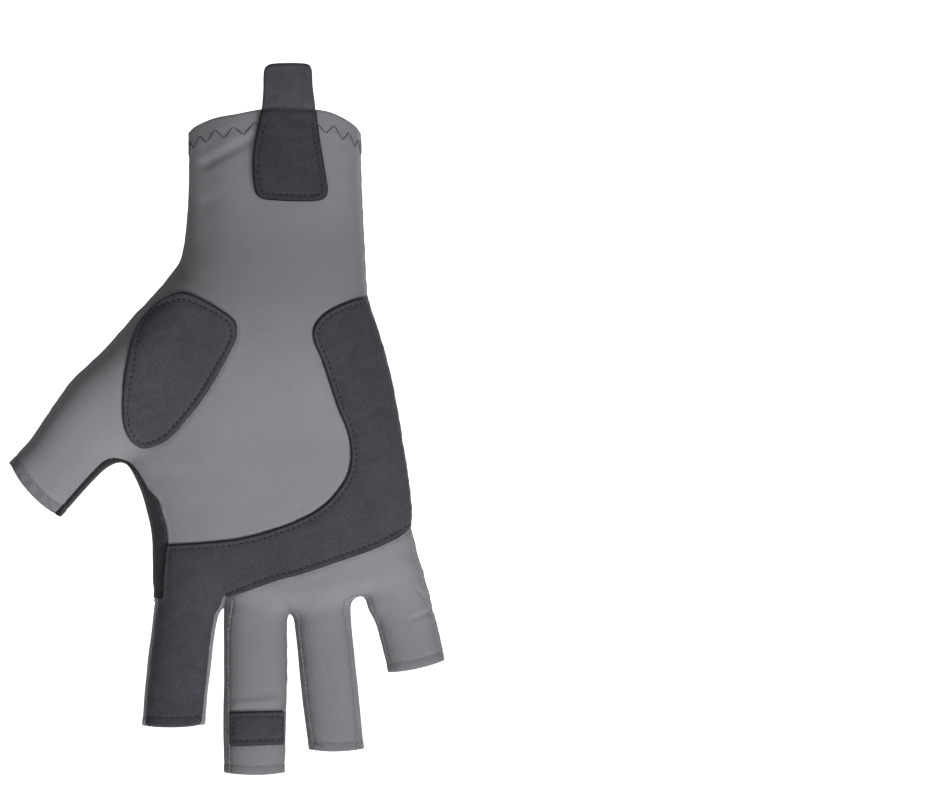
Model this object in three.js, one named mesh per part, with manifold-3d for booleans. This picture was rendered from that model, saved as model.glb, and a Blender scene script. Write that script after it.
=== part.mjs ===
// Fingerless sun glove for fishing, right hand, filled out as a hand fills it.
// Frame: millimetres, +Z up out of the cuff, fingers pointing down, palm facing -Y,
// thumb towards -X. The origin is the middle of the wrist opening.
import * as THREE from "three";
import { mergeVertices } from "three/addons/utils/BufferGeometryUtils.js";
import Module from "manifold-3d";

// ---- driving dimensions -------------------------------------------------
const KNIT = 1.2; // stretch knit wall
const SUEDE = 1.0; // synthetic suede of the patches, the gusset and the tab
const GAP = 0.3; // clearance between pieces that are sewn together
const RIM_SIDE = -1.2; // height of the cuff edge at its two sides
const RIM_RISE_PALM = 8.7; // it stands higher mid palm side
const RIM_RISE_BACK = 5.0; // and a little higher in the middle of the back
const RIM_DEPTH = 21; // half depth of the cuff at its edge
const FLEX = 8.5; // fingertips lean this far towards the palm
const FLEX_FROM = 80; // below this depth under the cuff edge
const FLEX_OVER = 146;
const THUMB_LEAN = 11; // thumb tip leans this far towards the palm side
const THUMB_FROM = 38;
const THUMB_OVER = 54;
const FOURCHETTE = 10.8; // width of the side strips between the fingers
const AROUND_HAND = 32; // facets round each section
const AROUND_FINGER = 20;

// A short table: named columns, one row for each section.
const table = (columns, rows) =>
  rows.map((r) => Object.fromEntries(columns.split(" ").map((c, i) => [c, r[i]])));

// Sections of the hand, level by level. thumbSide and littleSide are the side seams,
// palm and back the depths either side of them, square the fullness of the corners.
const HAND = table("z thumbSide littleSide palm back square", [
  [30.0, -29.2, 29.4, 21.0, 21.0, 2.2],
  [0.0, -29.4, 29.8, 21.0, 21.0, 2.2],
  [-26.0, -30.1, 30.7, 20.5, 20.5, 2.2],
  [-39.0, -31.3, 31.2, 20.0, 20.0, 2.2],
  [-50.0, -33.3, 31.8, 20.0, 19.0, 2.25],
  [-60.0, -35.6, 32.6, 20.0, 18.0, 2.3],
  [-74.0, -38.6, 36.2, 19.2, 17.2, 2.35],
  [-88.0, -43.5, 39.8, 18.2, 16.8, 2.4],
  [-102.0, -49.6, 42.2, 17.4, 16.6, 2.4],
  [-110.0, -53.4, 43.4, 17.0, 16.5, 2.35],
  [-114.4, -53.6, 44.0, 16.9, 16.4, 2.35],
  [-117.8, -50.8, 44.5, 16.7, 16.4, 2.4],
  [-123.0, -47.9, 45.3, 16.4, 16.2, 2.45],
  [-131.0, -45.2, 46.2, 15.9, 16.0, 2.5],
  [-141.0, -43.0, 47.2, 15.2, 15.6, 2.5],
  [-152.0, -42.6, 48.6, 13.8, 14.6, 2.5],
  [-160.6, -42.4, 48.9, 12.6, 13.2, 2.5],
  [-166.2, -40.6, 27.4, 12.0, 12.2, 2.5],
]);

// Fingers and thumb: the two side seams as points (x, z), then the depths.
const COLS = "xa za xb zb palm back";
const FINGERS = {
  index: table(COLS, [
    [-42.4, -150.0, -15.6, -150.0, 11.4, 11.4],
    [-41.8, -165.0, -17.6, -165.0, 11.0, 10.8],
    [-42.3, -171.0, -20.1, -171.0, 10.7, 10.3],
    [-43.6, -184.0, -21.6, -184.0, 10.3, 9.9],
    [-45.2, -199.0, -23.5, -198.5, 9.8, 9.4],
    [-46.2, -208.2, -24.0, -208.0, 9.5, 9.2],
  ]),
  middle: table(COLS, [
    [-17.8, -150.0, 5.6, -150.0, 11.4, 11.4],
    [-17.5, -167.5, 5.2, -167.5, 10.8, 10.7],
    [-17.5, -172.5, 4.3, -172.5, 10.7, 10.5],
    [-17.6, -188.0, 4.2, -188.0, 10.4, 10.1],
    [-17.8, -206.0, 4.0, -206.0, 9.9, 9.6],
    [-17.6, -225.6, 3.8, -225.6, 9.5, 9.2],
  ]),
  ring: table(COLS, [
    [4.8, -150.0, 27.6, -150.0, 11.0, 11.0],
    [5.6, -167.8, 26.9, -168.0, 10.5, 10.3],
    [7.0, -172.5, 27.1, -172.0, 10.4, 10.2],
    [8.6, -187.0, 28.4, -186.0, 10.0, 9.7],
    [10.6, -205.0, 30.2, -204.0, 9.6, 9.3],
    [12.2, -217.6, 31.4, -217.0, 9.2, 9.0],
  ]),
  little: table(COLS, [
    [25.0, -142.0, 48.6, -142.0, 10.6, 10.4],
    [29.6, -158.0, 52.2, -155.0, 10.2, 10.0],
    [33.4, -169.5, 55.2, -165.5, 9.7, 9.5],
    [37.0, -180.0, 57.6, -175.5, 9.3, 9.0],
    [39.9, -190.0, 59.3, -186.0, 8.9, 8.7],
  ]),
  thumb: table(COLS, [
    [-32.8, -46.4, -16.8, -63.7, 11.5, 11.5],
    [-39.6, -55.2, -21.7, -77.7, 14.0, 12.5],
    [-49.0, -65.2, -29.4, -92.4, 16.4, 13.2],
    [-59.6, -77.0, -39.9, -105.7, 16.0, 13.2],
    [-70.7, -88.8, -51.6, -113.6, 14.2, 12.6],
    [-79.1, -99.8, -61.1, -121.1, 12.6, 11.8],
    [-85.6, -109.2, -67.6, -127.8, 11.6, 11.0],
    [-92.2, -117.0, -74.2, -135.6, 10.8, 10.4],
  ]),
};
const FINGER_SQUARE = 2.25;

// Outlines on the palm, seen square on: (x, z) corners of smooth closed curves.
const THENAR_PATCH = table("x z", [
  [-31.2, -57.6], [-42.6, -61.9], [-48.9, -71.3], [-51.9, -83.3], [-52.9, -96.7],
  [-51.2, -107.4], [-44.5, -111.8], [-33.8, -106.1], [-23.8, -94.0], [-16.4, -82.0],
  [-13.2, -72.0], [-17.7, -64.3], [-25.0, -59.8],
]);
// The palm patch: inner edge from the heel of the hand round to the index finger,
// then the finger itself, then the lower edge back to the little finger side.
const PALM_PATCH_INNER = table("x z", [
  [38.0, -58.6], [29.1, -59.9], [21.6, -63.0], [14.4, -68.0], [14.2, -74.6],
  [19.6, -91.6], [25.6, -107.6], [27.0, -116.0], [24.6, -124.2], [16.8, -132.0],
  [3.7, -139.2], [-14.0, -143.9], [-37.4, -146.0],
]);
const PALM_PATCH_FINGER = table("x z", [
  [-38.4, -163.0], [-40.4, -166.0], [-42.4, -172.5], [-43.6, -188.0], [-44.9, -207.6],
  [-25.2, -207.6], [-22.9, -190.0], [-20.6, -174.5], [-19.8, -167.4], [-17.2, -164.3],
]);
const PALM_PATCH_LOWER = table("x z", [
  [-16.0, -163.6], [9.1, -156.6], [25.1, -151.2], [39.8, -145.6], [46.4, -141.4], [60.0, -138.6],
]);
// Edges of the gusset between thumb and index finger, on the palm half and on the back half.
const GUSSET_PALM = table("x z", [
  [-76.3, -132.8], [-72.8, -129.5], [-67.9, -124.3], [-63.7, -119.7], [-59.5, -115.9], [-55.3, -114.1],
  [-50.4, -116.2], [-46.6, -122.5], [-44.5, -125.7], [-41.7, -128.1], [-40.3, -130.6], [-38.9, -134.8],
  [-37.8, -140.0], [-37.5, -145.3], [-38.2, -150.5], [-38.5, -163.5], [-56.0, -163.5], [-60.0, -150.0],
  [-70.0, -142.0], [-78.0, -141.0],
]);
const GUSSET_BACK = table("x z", [
  [-86.0, -123.0], [-75.4, -112.6], [-67.7, -106.4], [-60.4, -101.8], [-55.5, -101.4], [-51.2, -104.6],
  [-46.7, -111.7], [-43.9, -121.1], [-42.4, -132.3], [-41.4, -148.8], [-40.6, -163.5], [-56.0, -163.5],
  [-60.0, -150.0], [-70.0, -142.0], [-84.0, -136.0],
]);
const MIDDLE_PATCH = { left: -15.0, right: 3.2, top: -204.6, bottom: -215.6, skew: 1.1 };
const TAB = table("x z", [
  [-3.4, 19.6], [-1.4, 22.4], [5.5, 22.9], [11.2, 22.6], [13.2, 20.4],
  [13.5, 12.0], [14.4, 4.0], [16.2, -5.0], [18.0, -14.0], [18.9, -20.0], [18.2, -24.2],
  [15.4, -25.6], [5.0, -25.6], [-3.0, -25.2], [-6.6, -22.4], [-7.5, -16.0],
  [-6.6, -6.0], [-4.9, 2.0], [-3.7, 8.0],
]);

// ---- where the side seams run, front to back -----------------------------
function seamY(x, z) {
  const t = Math.max(0, (-z - FLEX_FROM) / FLEX_OVER);
  const s = Math.max(0, (-x - THUMB_FROM) / THUMB_OVER) * THREE.MathUtils.smoothstep(z, -185, -150);
  return -FLEX * t * t - THUMB_LEAN * Math.pow(s, 1.5);
}

// ---- solids ---------------------------------------------------------------
const wasm = await Module();
wasm.setup();
const { Manifold, Mesh } = wasm;

function solid(geometry, near = 1e-4) {
  const g = geometry.clone();
  for (const a of ["normal", "uv"]) g.deleteAttribute(a);
  const m = mergeVertices(g, near);
  return new Manifold(
    new Mesh({
      numProp: 3,
      vertProperties: m.attributes.position.array,
      triVerts: new Uint32Array(m.index.array),
    }),
  );
}

function geometryOf(made) {
  const m = made.getMesh();
  const v = new Float32Array(m.numVert * 3);
  for (let i = 0; i < m.numVert; i++) v.set(m.vertProperties.subarray(i * m.numProp, i * m.numProp + 3), i * 3);
  const g = new THREE.BufferGeometry();
  g.setAttribute("position", new THREE.BufferAttribute(v, 3));
  g.setIndex(new THREE.BufferAttribute(new Uint32Array(m.triVerts), 1));
  return g;
}

// A closed skin through rings of points, capped at both ends.
function skin(rings) {
  const n = rings[0].length;
  const pos = [];
  const tri = [];
  for (const ring of rings) for (const p of ring) pos.push(p.x, p.y, p.z);
  const at = (r, i) => r * n + (i % n);
  for (let r = 0; r + 1 < rings.length; r++)
    for (let i = 0; i < n; i++) {
      tri.push(at(r, i), at(r, i + 1), at(r + 1, i));
      tri.push(at(r, i + 1), at(r + 1, i + 1), at(r + 1, i));
    }
  for (const [r, flip] of [[0, false], [rings.length - 1, true]]) {
    const c = rings[r].reduce((a, p) => a.add(p), new THREE.Vector3()).divideScalar(n);
    const k = pos.length / 3;
    pos.push(c.x, c.y, c.z);
    for (let i = 0; i < n; i++)
      flip ? tri.push(at(r, i), at(r, i + 1), k) : tri.push(at(r, i + 1), at(r, i), k);
  }
  const g = new THREE.BufferGeometry();
  g.setAttribute("position", new THREE.Float32BufferAttribute(pos, 3));
  g.setIndex(tri);
  const made = solid(g);
  if (made.volume() > 0) return made;
  const back = [];
  for (let i = 0; i < tri.length; i += 3) back.push(tri[i], tri[i + 2], tri[i + 1]);
  g.setIndex(back);
  return solid(g);
}

// One section: a full oval between two side seams, grown by `grow` all round.
function ring(a, b, palm, back, square, grow, count) {
  const dir = new THREE.Vector2(b.x - a.x, b.y - a.y);
  const half = dir.length() / 2 + grow;
  dir.normalize();
  const mid = new THREE.Vector2((a.x + b.x) / 2, (a.y + b.y) / 2);
  const points = [];
  for (let i = 0; i < count; i++) {
    const t = (i / count) * Math.PI * 2;
    const c = Math.cos(t);
    const s = Math.sin(t);
    const u = Math.sign(c) * Math.pow(Math.abs(c), 2 / square) * half;
    const v = Math.sign(s) * Math.pow(Math.abs(s), 2 / square) * ((s < 0 ? palm : back) + grow);
    const x = mid.x + dir.x * u;
    const z = mid.y + dir.y * u;
    points.push(new THREE.Vector3(x, seamY(x, z) + v, z));
  }
  return points;
}

// The hand from above the cuff edge to the finger roots. `under` moves its closed lower end.
function handSolid(grow, under) {
  const rows = HAND.map((r) => ({ ...r }));
  rows[rows.length - 1].z += under;
  return skin(
    rows.map((r) =>
      ring({ x: r.thumbSide, y: r.z }, { x: r.littleSide, y: r.z }, r.palm, r.back, r.square, grow, AROUND_HAND),
    ),
  );
}

// A finger or the thumb, run on past its open end by `past`.
function fingerSolid(rows, grow, past) {
  const rings = rows.map((r) =>
    ring({ x: r.xa, y: r.za }, { x: r.xb, y: r.zb }, r.palm, r.back, FINGER_SQUARE, grow, AROUND_FINGER),
  );
  if (past) {
    const [p, q] = rows.slice(-2);
    const away = new THREE.Vector2(q.xa + q.xb - p.xa - p.xb, q.za + q.zb - p.za - p.zb).normalize().multiplyScalar(past);
    rings.push(
      ring(
        { x: q.xa + away.x, y: q.za + away.y }, { x: q.xb + away.x, y: q.zb + away.y },
        q.palm, q.back, FINGER_SQUARE, grow, AROUND_FINGER,
      ),
    );
  }
  return skin(rings);
}

function gloveSolid(grow, past) {
  let made = handSolid(grow, -grow);
  for (const rows of Object.values(FINGERS)) made = made.add(fingerSolid(rows, grow, past));
  return made;
}

// A flat outline in x and z, run through from y0 to y1.
function through(points, y0, y1, smooth) {
  const shape = new THREE.Shape();
  const v = points.map((p) => new THREE.Vector2(p.x, p.z));
  if (smooth) {
    const curve = new THREE.SplineCurve([...v, v[0]]);
    shape.setFromPoints(curve.getPoints(v.length * 3).slice(0, -1));
  } else shape.setFromPoints(v);
  const g = new THREE.ExtrudeGeometry(shape, { depth: y1 - y0, bevelEnabled: false });
  g.rotateX(Math.PI / 2); // the outline's y becomes z, the depth runs along -y
  g.translate(0, y1, 0);
  return solid(g);
}

// Everything between two sheets that follow the side seams, at offsets low and high.
function between(low, high) {
  const x0 = -104, x1 = 70, z0 = -240, z1 = 40, nx = 20, nz = 26;
  const pos = [];
  const tri = [];
  for (const f of [low, high])
    for (let j = 0; j <= nz; j++)
      for (let i = 0; i <= nx; i++) {
        const x = x0 + ((x1 - x0) * i) / nx;
        const z = z0 + ((z1 - z0) * j) / nz;
        pos.push(x, f(x, z), z);
      }
  const at = (s, i, j) => s * (nx + 1) * (nz + 1) + j * (nx + 1) + i;
  const quad = (a, b, c, d) => tri.push(a, b, c, a, c, d);
  for (let j = 0; j < nz; j++)
    for (let i = 0; i < nx; i++) {
      quad(at(0, i, j), at(0, i + 1, j), at(0, i + 1, j + 1), at(0, i, j + 1));
      quad(at(1, i, j), at(1, i, j + 1), at(1, i + 1, j + 1), at(1, i + 1, j));
    }
  for (let i = 0; i < nx; i++) {
    quad(at(0, i + 1, 0), at(0, i, 0), at(1, i, 0), at(1, i + 1, 0));
    quad(at(0, i, nz), at(0, i + 1, nz), at(1, i + 1, nz), at(1, i, nz));
  }
  for (let j = 0; j < nz; j++) {
    quad(at(0, 0, j), at(0, 0, j + 1), at(1, 0, j + 1), at(1, 0, j));
    quad(at(0, nx, j + 1), at(0, nx, j), at(1, nx, j), at(1, nx, j + 1));
  }
  const g = new THREE.BufferGeometry();
  g.setAttribute("position", new THREE.Float32BufferAttribute(pos, 3));
  g.setIndex(tri);
  return solid(g);
}

const FAR = 70;
const palmSide = between(() => -FAR, (x, z) => seamY(x, z) - GAP / 2);
const backSide = between((x, z) => seamY(x, z) + GAP / 2, () => FAR);

// What stands above the curved cuff edge.
function aboveRim() {
  const shape = new THREE.Shape();
  shape.moveTo(-FAR, 60);
  const rise = (y) =>
    RIM_SIDE + (y < 0 ? RIM_RISE_PALM : RIM_RISE_BACK) * Math.pow(Math.min(1, Math.abs(y) / RIM_DEPTH), 1.35);
  for (let y = -RIM_DEPTH - 3; y <= RIM_DEPTH + 3; y += 2) {
    if (y === -RIM_DEPTH - 3) shape.lineTo(-FAR, rise(y));
    shape.lineTo(y, rise(y));
  }
  shape.lineTo(FAR, RIM_SIDE + RIM_RISE_BACK);
  shape.lineTo(FAR, 60);
  const g = new THREE.ExtrudeGeometry(shape, { depth: 2 * FAR, bevelEnabled: false });
  // Outline (y, z) run along x.
  g.applyMatrix4(new THREE.Matrix4().makeBasis(new THREE.Vector3(0, 1, 0), new THREE.Vector3(0, 0, 1), new THREE.Vector3(1, 0, 0)));
  g.translate(-FAR, 0, 0);
  return solid(g);
}

// ---- the knit shell, hollow from the cuff to every finger end ---------------
const outer = gloveSolid(0, 0);
const inner = handSolid(-KNIT, KNIT).add(
  Object.values(FINGERS).map((rows) => fingerSolid(rows, -KNIT, 4)).reduce((a, b) => a.add(b)),
);
const shell = outer.subtract(inner).subtract(aboveRim());

// ---- side strips between the fingers ------------------------------------------
const midline = (rows, k) => {
  const r = rows[k];
  return { x: (r.xa + r.xb) / 2, z: (r.za + r.zb) / 2 };
};
function stripRegion(a, b, top) {
  const la = FINGERS[a], lb = FINGERS[b];
  const down = (p) => ({ x: p.x, z: p.z - 6 });
  return [
    { x: midline(la, 1).x + 1, z: top }, { x: midline(lb, 1).x - 1, z: top },
    midline(lb, lb.length - 1), down(midline(lb, lb.length - 1)),
    down(midline(la, la.length - 1)), midline(la, la.length - 1),
  ];
}
const stripNames = [["index", "middle"], ["middle", "ring"], ["ring", "little"]];
const STRIP_TOP = { index_middle: -159.5, middle_ring: -160.5, ring_little: -157.5 };
const strips = new Map();
const stripCuts = [];
for (const [a, b] of stripNames) {
  const key = a + "_" + b;
  const region = stripRegion(a, b, STRIP_TOP[key]);
  const wide = through(region, -FAR, FAR, false);
  const h = FOURCHETTE / 2;
  const band = (grow) => between((x, z) => seamY(x, z) - h - grow, (x, z) => seamY(x, z) + h + grow);
  strips.set(key, shell.intersect(wide).intersect(band(0)));
  const region2 = region.map((p, i) => (i < 2 ? { x: p.x, z: p.z + GAP } : p));
  stripCuts.push(through(region2, -FAR, FAR, false).intersect(band(GAP)));
}

// ---- dark gusset: inside of the thumb, over the crotch, down to the index finger --
// `outline` moved outwards by d, corner by corner (corners run clockwise seen from the palm).
function grown(outline, d) {
  const n = outline.length;
  const area = outline.reduce((t, p, i) => t + p.x * outline[(i + 1) % n].z - outline[(i + 1) % n].x * p.z, 0);
  const side = area > 0 ? 1 : -1;
  return outline.map((p, i) => {
    const a = outline[(i + n - 1) % n], c = outline[(i + 1) % n];
    const out = new THREE.Vector2();
    for (const [s, e] of [[a, p], [p, c]]) {
      const len = Math.hypot(e.x - s.x, e.z - s.z);
      out.x += (side * (e.z - s.z)) / len;
      out.y -= (side * (e.x - s.x)) / len;
    }
    out.multiplyScalar((2 * d) / out.lengthSq());
    return { x: p.x + out.x, z: p.z + out.y };
  });
}
const palmHalf = between(() => -FAR, (x, z) => seamY(x, z));
const backHalf = between((x, z) => seamY(x, z), () => FAR);
const gussetWithin = (d) =>
  through(grown(GUSSET_PALM, d), -FAR, FAR, false).intersect(palmHalf)
    .add(through(grown(GUSSET_BACK, d), -FAR, FAR, false).intersect(backHalf));
const gusset = shell.intersect(gussetWithin(0));
const gussetCut = gussetWithin(GAP);

const cutAll = (made, cuts) => cuts.reduce((m, c) => m.subtract(c), made);
const palmPanel = cutAll(shell.intersect(palmSide), [...stripCuts, gussetCut]);
const backPanel = cutAll(shell.intersect(backSide), [...stripCuts, gussetCut]);

// ---- patches, laid on the palm side -------------------------------------------
const layer = (from, thick) => gloveSolid(from + thick, 0).subtract(gloveSolid(from, 0));
const onPalm = layer(GAP, SUEDE);
const patchOn = (outline, smooth) => onPalm.intersect(through(outline, -FAR, 0, smooth)).intersect(palmSide);

const thenarPatch = patchOn(THENAR_PATCH, true);
const palmPatch = patchOn(
  [
    { x: 60, z: -58.0 }, ...PALM_PATCH_INNER.map((p) => ({ ...p })), ...PALM_PATCH_FINGER, ...PALM_PATCH_LOWER,
  ],
  false,
).subtract(gussetCut);
const m = MIDDLE_PATCH;
const middlePatch = patchOn(
  [{ x: m.left, z: m.top }, { x: m.right, z: m.top + m.skew }, { x: m.right, z: m.bottom + m.skew }, { x: m.left, z: m.bottom }],
  false,
);

// ---- pull tab: suede outside, knit lining inside, standing above the cuff -----------
const tabLayer = (from, thick) => handSolid(from + thick, 0).subtract(handSolid(from, 0)).intersect(palmSide);
const tabOutline = through(TAB, -FAR, 0, false);
const tabLining = tabLayer(GAP, SUEDE).intersect(tabOutline);
const pullTab = tabLayer(2 * GAP + SUEDE, SUEDE).intersect(tabOutline);

// ---- the assembly ------------------------------------------------------------------
const knitGrey = new THREE.MeshStandardMaterial({ color: 0x86868a, roughness: 0.85, metalness: 0 });
const suedeDark = new THREE.MeshStandardMaterial({ color: 0x48474c, roughness: 0.95, metalness: 0 });
const glove = new THREE.Group();
function add(name, made, material, parent = glove) {
  // keep the main body and drop slivers that a cut leaves behind
  const largest = (m) => m.decompose().sort((p, q) => q.volume() - p.volume())[0];
  const main = largest(solid(geometryOf(largest(made).simplify(0.02)), 1e-3));
  const mesh = new THREE.Mesh(geometryOf(main), material.clone());
  mesh.name = name;
  parent.add(mesh);
}
const shellGroup = new THREE.Group();
const trimGroup = new THREE.Group();
glove.add(shellGroup, trimGroup);
add("palm_panel", palmPanel, knitGrey, shellGroup);
add("back_panel", backPanel, knitGrey, shellGroup);
for (const [key, made] of strips) add("fourchette_" + key, made, knitGrey, shellGroup);
add("thumb_gusset", gusset, suedeDark, shellGroup);
add("thenar_patch", thenarPatch, suedeDark, trimGroup);
add("palm_patch", palmPatch, suedeDark, trimGroup);
add("middle_finger_patch", middlePatch, suedeDark, trimGroup);
add("pull_tab", pullTab, suedeDark, trimGroup);
add("pull_tab_lining", tabLining, knitGrey, trimGroup);

export default glove;
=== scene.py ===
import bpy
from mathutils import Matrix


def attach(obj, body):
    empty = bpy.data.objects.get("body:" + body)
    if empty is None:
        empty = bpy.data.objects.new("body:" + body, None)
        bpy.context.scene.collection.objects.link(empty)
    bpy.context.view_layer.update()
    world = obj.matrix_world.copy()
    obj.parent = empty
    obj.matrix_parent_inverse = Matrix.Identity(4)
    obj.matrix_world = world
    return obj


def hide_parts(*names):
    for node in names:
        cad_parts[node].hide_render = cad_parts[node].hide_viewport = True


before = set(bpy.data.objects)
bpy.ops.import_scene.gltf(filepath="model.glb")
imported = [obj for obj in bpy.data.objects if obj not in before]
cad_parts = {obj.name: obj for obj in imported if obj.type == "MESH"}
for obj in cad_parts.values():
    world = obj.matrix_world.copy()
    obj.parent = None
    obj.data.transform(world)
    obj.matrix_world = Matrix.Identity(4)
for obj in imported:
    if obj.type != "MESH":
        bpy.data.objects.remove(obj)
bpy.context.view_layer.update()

import math

import bpy
import numpy as np
from mathutils import Vector
from mathutils.kdtree import KDTree

# Fingerless glove for the right hand, filled out as on a hand.
# Lengths are millimetres until a mesh is handed to Blender. +Z is up out of the cuff,
# the palm faces -Y and the thumb is on the -X side.

PITCH = 0.9      # spacing of the cloth's mesh
KNIT = 1.2       # knit wall
SUEDE = 0.9      # suede of the patches
LIFT = 0.12      # a patch stands this far off the knit
STITCH = 2.1     # topstitch pitch


# ---------------------------------------------------------------- small maths
def ramp(t):
    t = np.clip(t, 0.0, 1.0)
    return t * t * (3 - 2 * t)


def bell(d, width):
    return np.exp(-((d / width) ** 2))


def smin(a, b, k):
    h = np.maximum(k - np.abs(a - b), 0.0) / k
    return np.minimum(a, b) - h * h * k * 0.25


def smax(a, b, k):
    return -smin(-a, -b, k)


def waves(P, length, seed, n=7):
    """Smooth noise of about +-1 with features of the given length."""
    rng = np.random.default_rng(seed)
    out = np.zeros(len(P))
    for _ in range(n):
        d = rng.normal(size=3)
        d /= np.linalg.norm(d)
        k = 2 * math.pi / (length * rng.uniform(0.7, 1.6))
        out += np.sin(P @ d * k + rng.uniform(0, 6.28))
    return out / math.sqrt(n) * 0.75


def fine_curve(x, y, xs):
    """Monotone cubic through (x, y), read off at xs."""
    x, y = np.asarray(x, float), np.asarray(y, float)
    h, d = np.diff(x), np.diff(y) / np.diff(x)
    m = np.zeros(len(x))
    for i in range(1, len(x) - 1):
        if d[i - 1] * d[i] > 0:
            w1, w2 = 2 * h[i] + h[i - 1], h[i] + 2 * h[i - 1]
            m[i] = (w1 + w2) / (w1 / d[i - 1] + w2 / d[i])
    m[0], m[-1] = d[0], d[-1]
    i = np.clip(np.searchsorted(x, xs) - 1, 0, len(x) - 2)
    t = np.clip((xs - x[i]) / h[i], 0, 1)
    return (y[i] * (1 + 2 * t) * (1 - t) ** 2 + m[i] * h[i] * t * (1 - t) ** 2
            + y[i + 1] * t * t * (3 - 2 * t) + m[i + 1] * h[i] * t * t * (t - 1))


def spline(points, closed=False, steps=6):
    """Catmull-Rom through 2-D or 3-D points."""
    p = np.asarray(points, float)
    n = len(p)
    out = []
    spans = n if closed else n - 1
    for i in range(spans):
        if closed:
            a, b, c, d = (p[(i + j - 1) % n] for j in range(4))
        else:
            b, c = p[i], p[i + 1]
            a = p[i - 1] if i else 2 * b - c
            d = p[i + 2] if i + 2 < n else 2 * c - b
        for t in np.arange(steps) / steps:
            out.append(0.5 * (2 * b + (c - a) * t + (2 * a - 5 * b + 4 * c - d) * t * t
                              + (3 * b - a - 3 * c + d) * t ** 3))
    if not closed:
        out.append(p[-1])
    return np.array(out)


def poly_distance(x, z, poly):
    """Signed distance to a closed 2-D outline, positive inside."""
    a, b = poly, np.roll(poly, -1, axis=0)
    out = np.empty(len(x))
    for s in range(0, len(x), 20000):
        px, pz = x[s:s + 20000, None], z[s:s + 20000, None]
        ex, ez = (b - a)[:, 0], (b - a)[:, 1]
        wx, wz = px - a[:, 0], pz - a[:, 1]
        t = np.clip((wx * ex + wz * ez) / (ex * ex + ez * ez + 1e-12), 0, 1)
        d = np.sqrt(((wx - t * ex) ** 2 + (wz - t * ez) ** 2).min(axis=1))
        cross = ((a[:, 1] <= pz) != (b[:, 1] <= pz)) & (
            px < a[:, 0] + (pz - a[:, 1]) * ex / np.where(np.abs(ez) < 1e-9, 1e-9, ez))
        out[s:s + 20000] = np.where(cross.sum(axis=1) % 2 == 1, d, -d)
    return out


def line_distance(x, z, line):
    """Distance to an open 2-D line, the place along it from 0 to 1, and the side of it."""
    a, b = line[:-1], line[1:]
    length = np.hypot(*(b - a).T)
    start = np.concatenate([[0], np.cumsum(length)])[:-1]
    ex, ez = (b - a)[:, 0], (b - a)[:, 1]
    wx, wz = x[:, None] - a[:, 0], z[:, None] - a[:, 1]
    t = np.clip((wx * ex + wz * ez) / (ex * ex + ez * ez), 0, 1)
    dd = (wx - t * ex) ** 2 + (wz - t * ez) ** 2
    k = dd.argmin(axis=1)
    r = np.arange(len(x))
    side = np.sign(ex[k] * wz[r, k] - ez[k] * wx[r, k])
    return np.sqrt(dd[r, k]), (start[k] + t[r, k] * length[k]) / length.sum(), side


# ---------------------------------------------------------------- the filled-out form
def seam_y(x, z):
    """Depth at which the side seams run: fingertips and thumb lean towards the palm side."""
    t = np.maximum(0, (-z - 80) / 146)
    s = np.maximum(0, (-x - 38) / 54) * ramp((z + 185) / 35)
    return -8.5 * t * t - 11 * s ** 1.5


class Limb:
    """A tube through sections: two side points (x, z) and the depths of palm and back."""

    def __init__(self, origin, angle, rows, square, root=None, bulge=0.75):
        self.o = origin
        self.bulge = bulge
        a = math.radians(angle)
        self.d = (math.sin(a), -math.cos(a))     # along the limb, in x and z
        self.c = (-self.d[1], self.d[0])         # across it
        self.square = np.array(square, float)    # rows: place along the limb, squareness of the section
        rows = np.array(rows, float)
        sa, ta = self.local(rows[:, 0], rows[:, 1])
        sb, tb = self.local(rows[:, 2], rows[:, 3])
        sm = (sa + sb) / 2
        self.S = np.linspace(min(sa[0], sb[0]), max(sa[-1], sb[-1]), 700)
        self.L = fine_curve(sa, ta, self.S)
        self.R = fine_curve(sb, tb, self.S)
        self.P = fine_curve(sm, rows[:, 4], self.S)
        self.B = fine_curve(sm, rows[:, 5], self.S)
        self.root = root
        self.end = rows[-1, :4]
        self.s_end = sm[-1]

    def local(self, x, z):
        x, z = x - self.o[0], z - self.o[1]
        return x * self.d[0] + z * self.d[1], x * self.c[0] + z * self.c[1]

    def at(self, s):
        return tuple(np.interp(s, self.S, v) for v in (self.L, self.R, self.P, self.B))

    def distance(self, x, y, z):
        s, t = self.local(x, z)
        L, R, P, B = self.at(s)
        A = (R - L) / 2
        y = y - seam_y(x, z)
        D = np.where(y < 0, P, B)
        u = np.abs(t - (L + R) / 2) / A + 1e-5
        v = np.abs(y) / D + 1e-5
        n = np.interp(s, self.square[:, 0], self.square[:, 1])
        un, vn = u ** (n - 1), v ** (n - 1)
        r = (un * u + vn * v) ** (1 / n)
        g = np.sqrt((un / A) ** 2 + (vn / D) ** 2) * r ** (1 - n)
        d = (r - 1) / np.maximum(g, 0.03)
        if self.root is not None:
            d = smax(d, self.root - s, 5.0)
        return d

    def beyond(self, x, z):
        """How far past the open end, which bulges a little in the middle."""
        xa, za, xb, zb = self.end
        ex, ez = xb - xa, zb - za
        w = math.hypot(ex, ez)
        k = ((x - xa) * ex + (z - za) * ez) / w / w
        out = ((x - xa) * -ez + (z - za) * ex) / w
        sign = 1.0 if (-ez * self.d[0] + ex * self.d[1]) > 0 else -1.0
        return sign * out - self.bulge * np.clip(4 * k * (1 - k), 0, 1)


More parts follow.
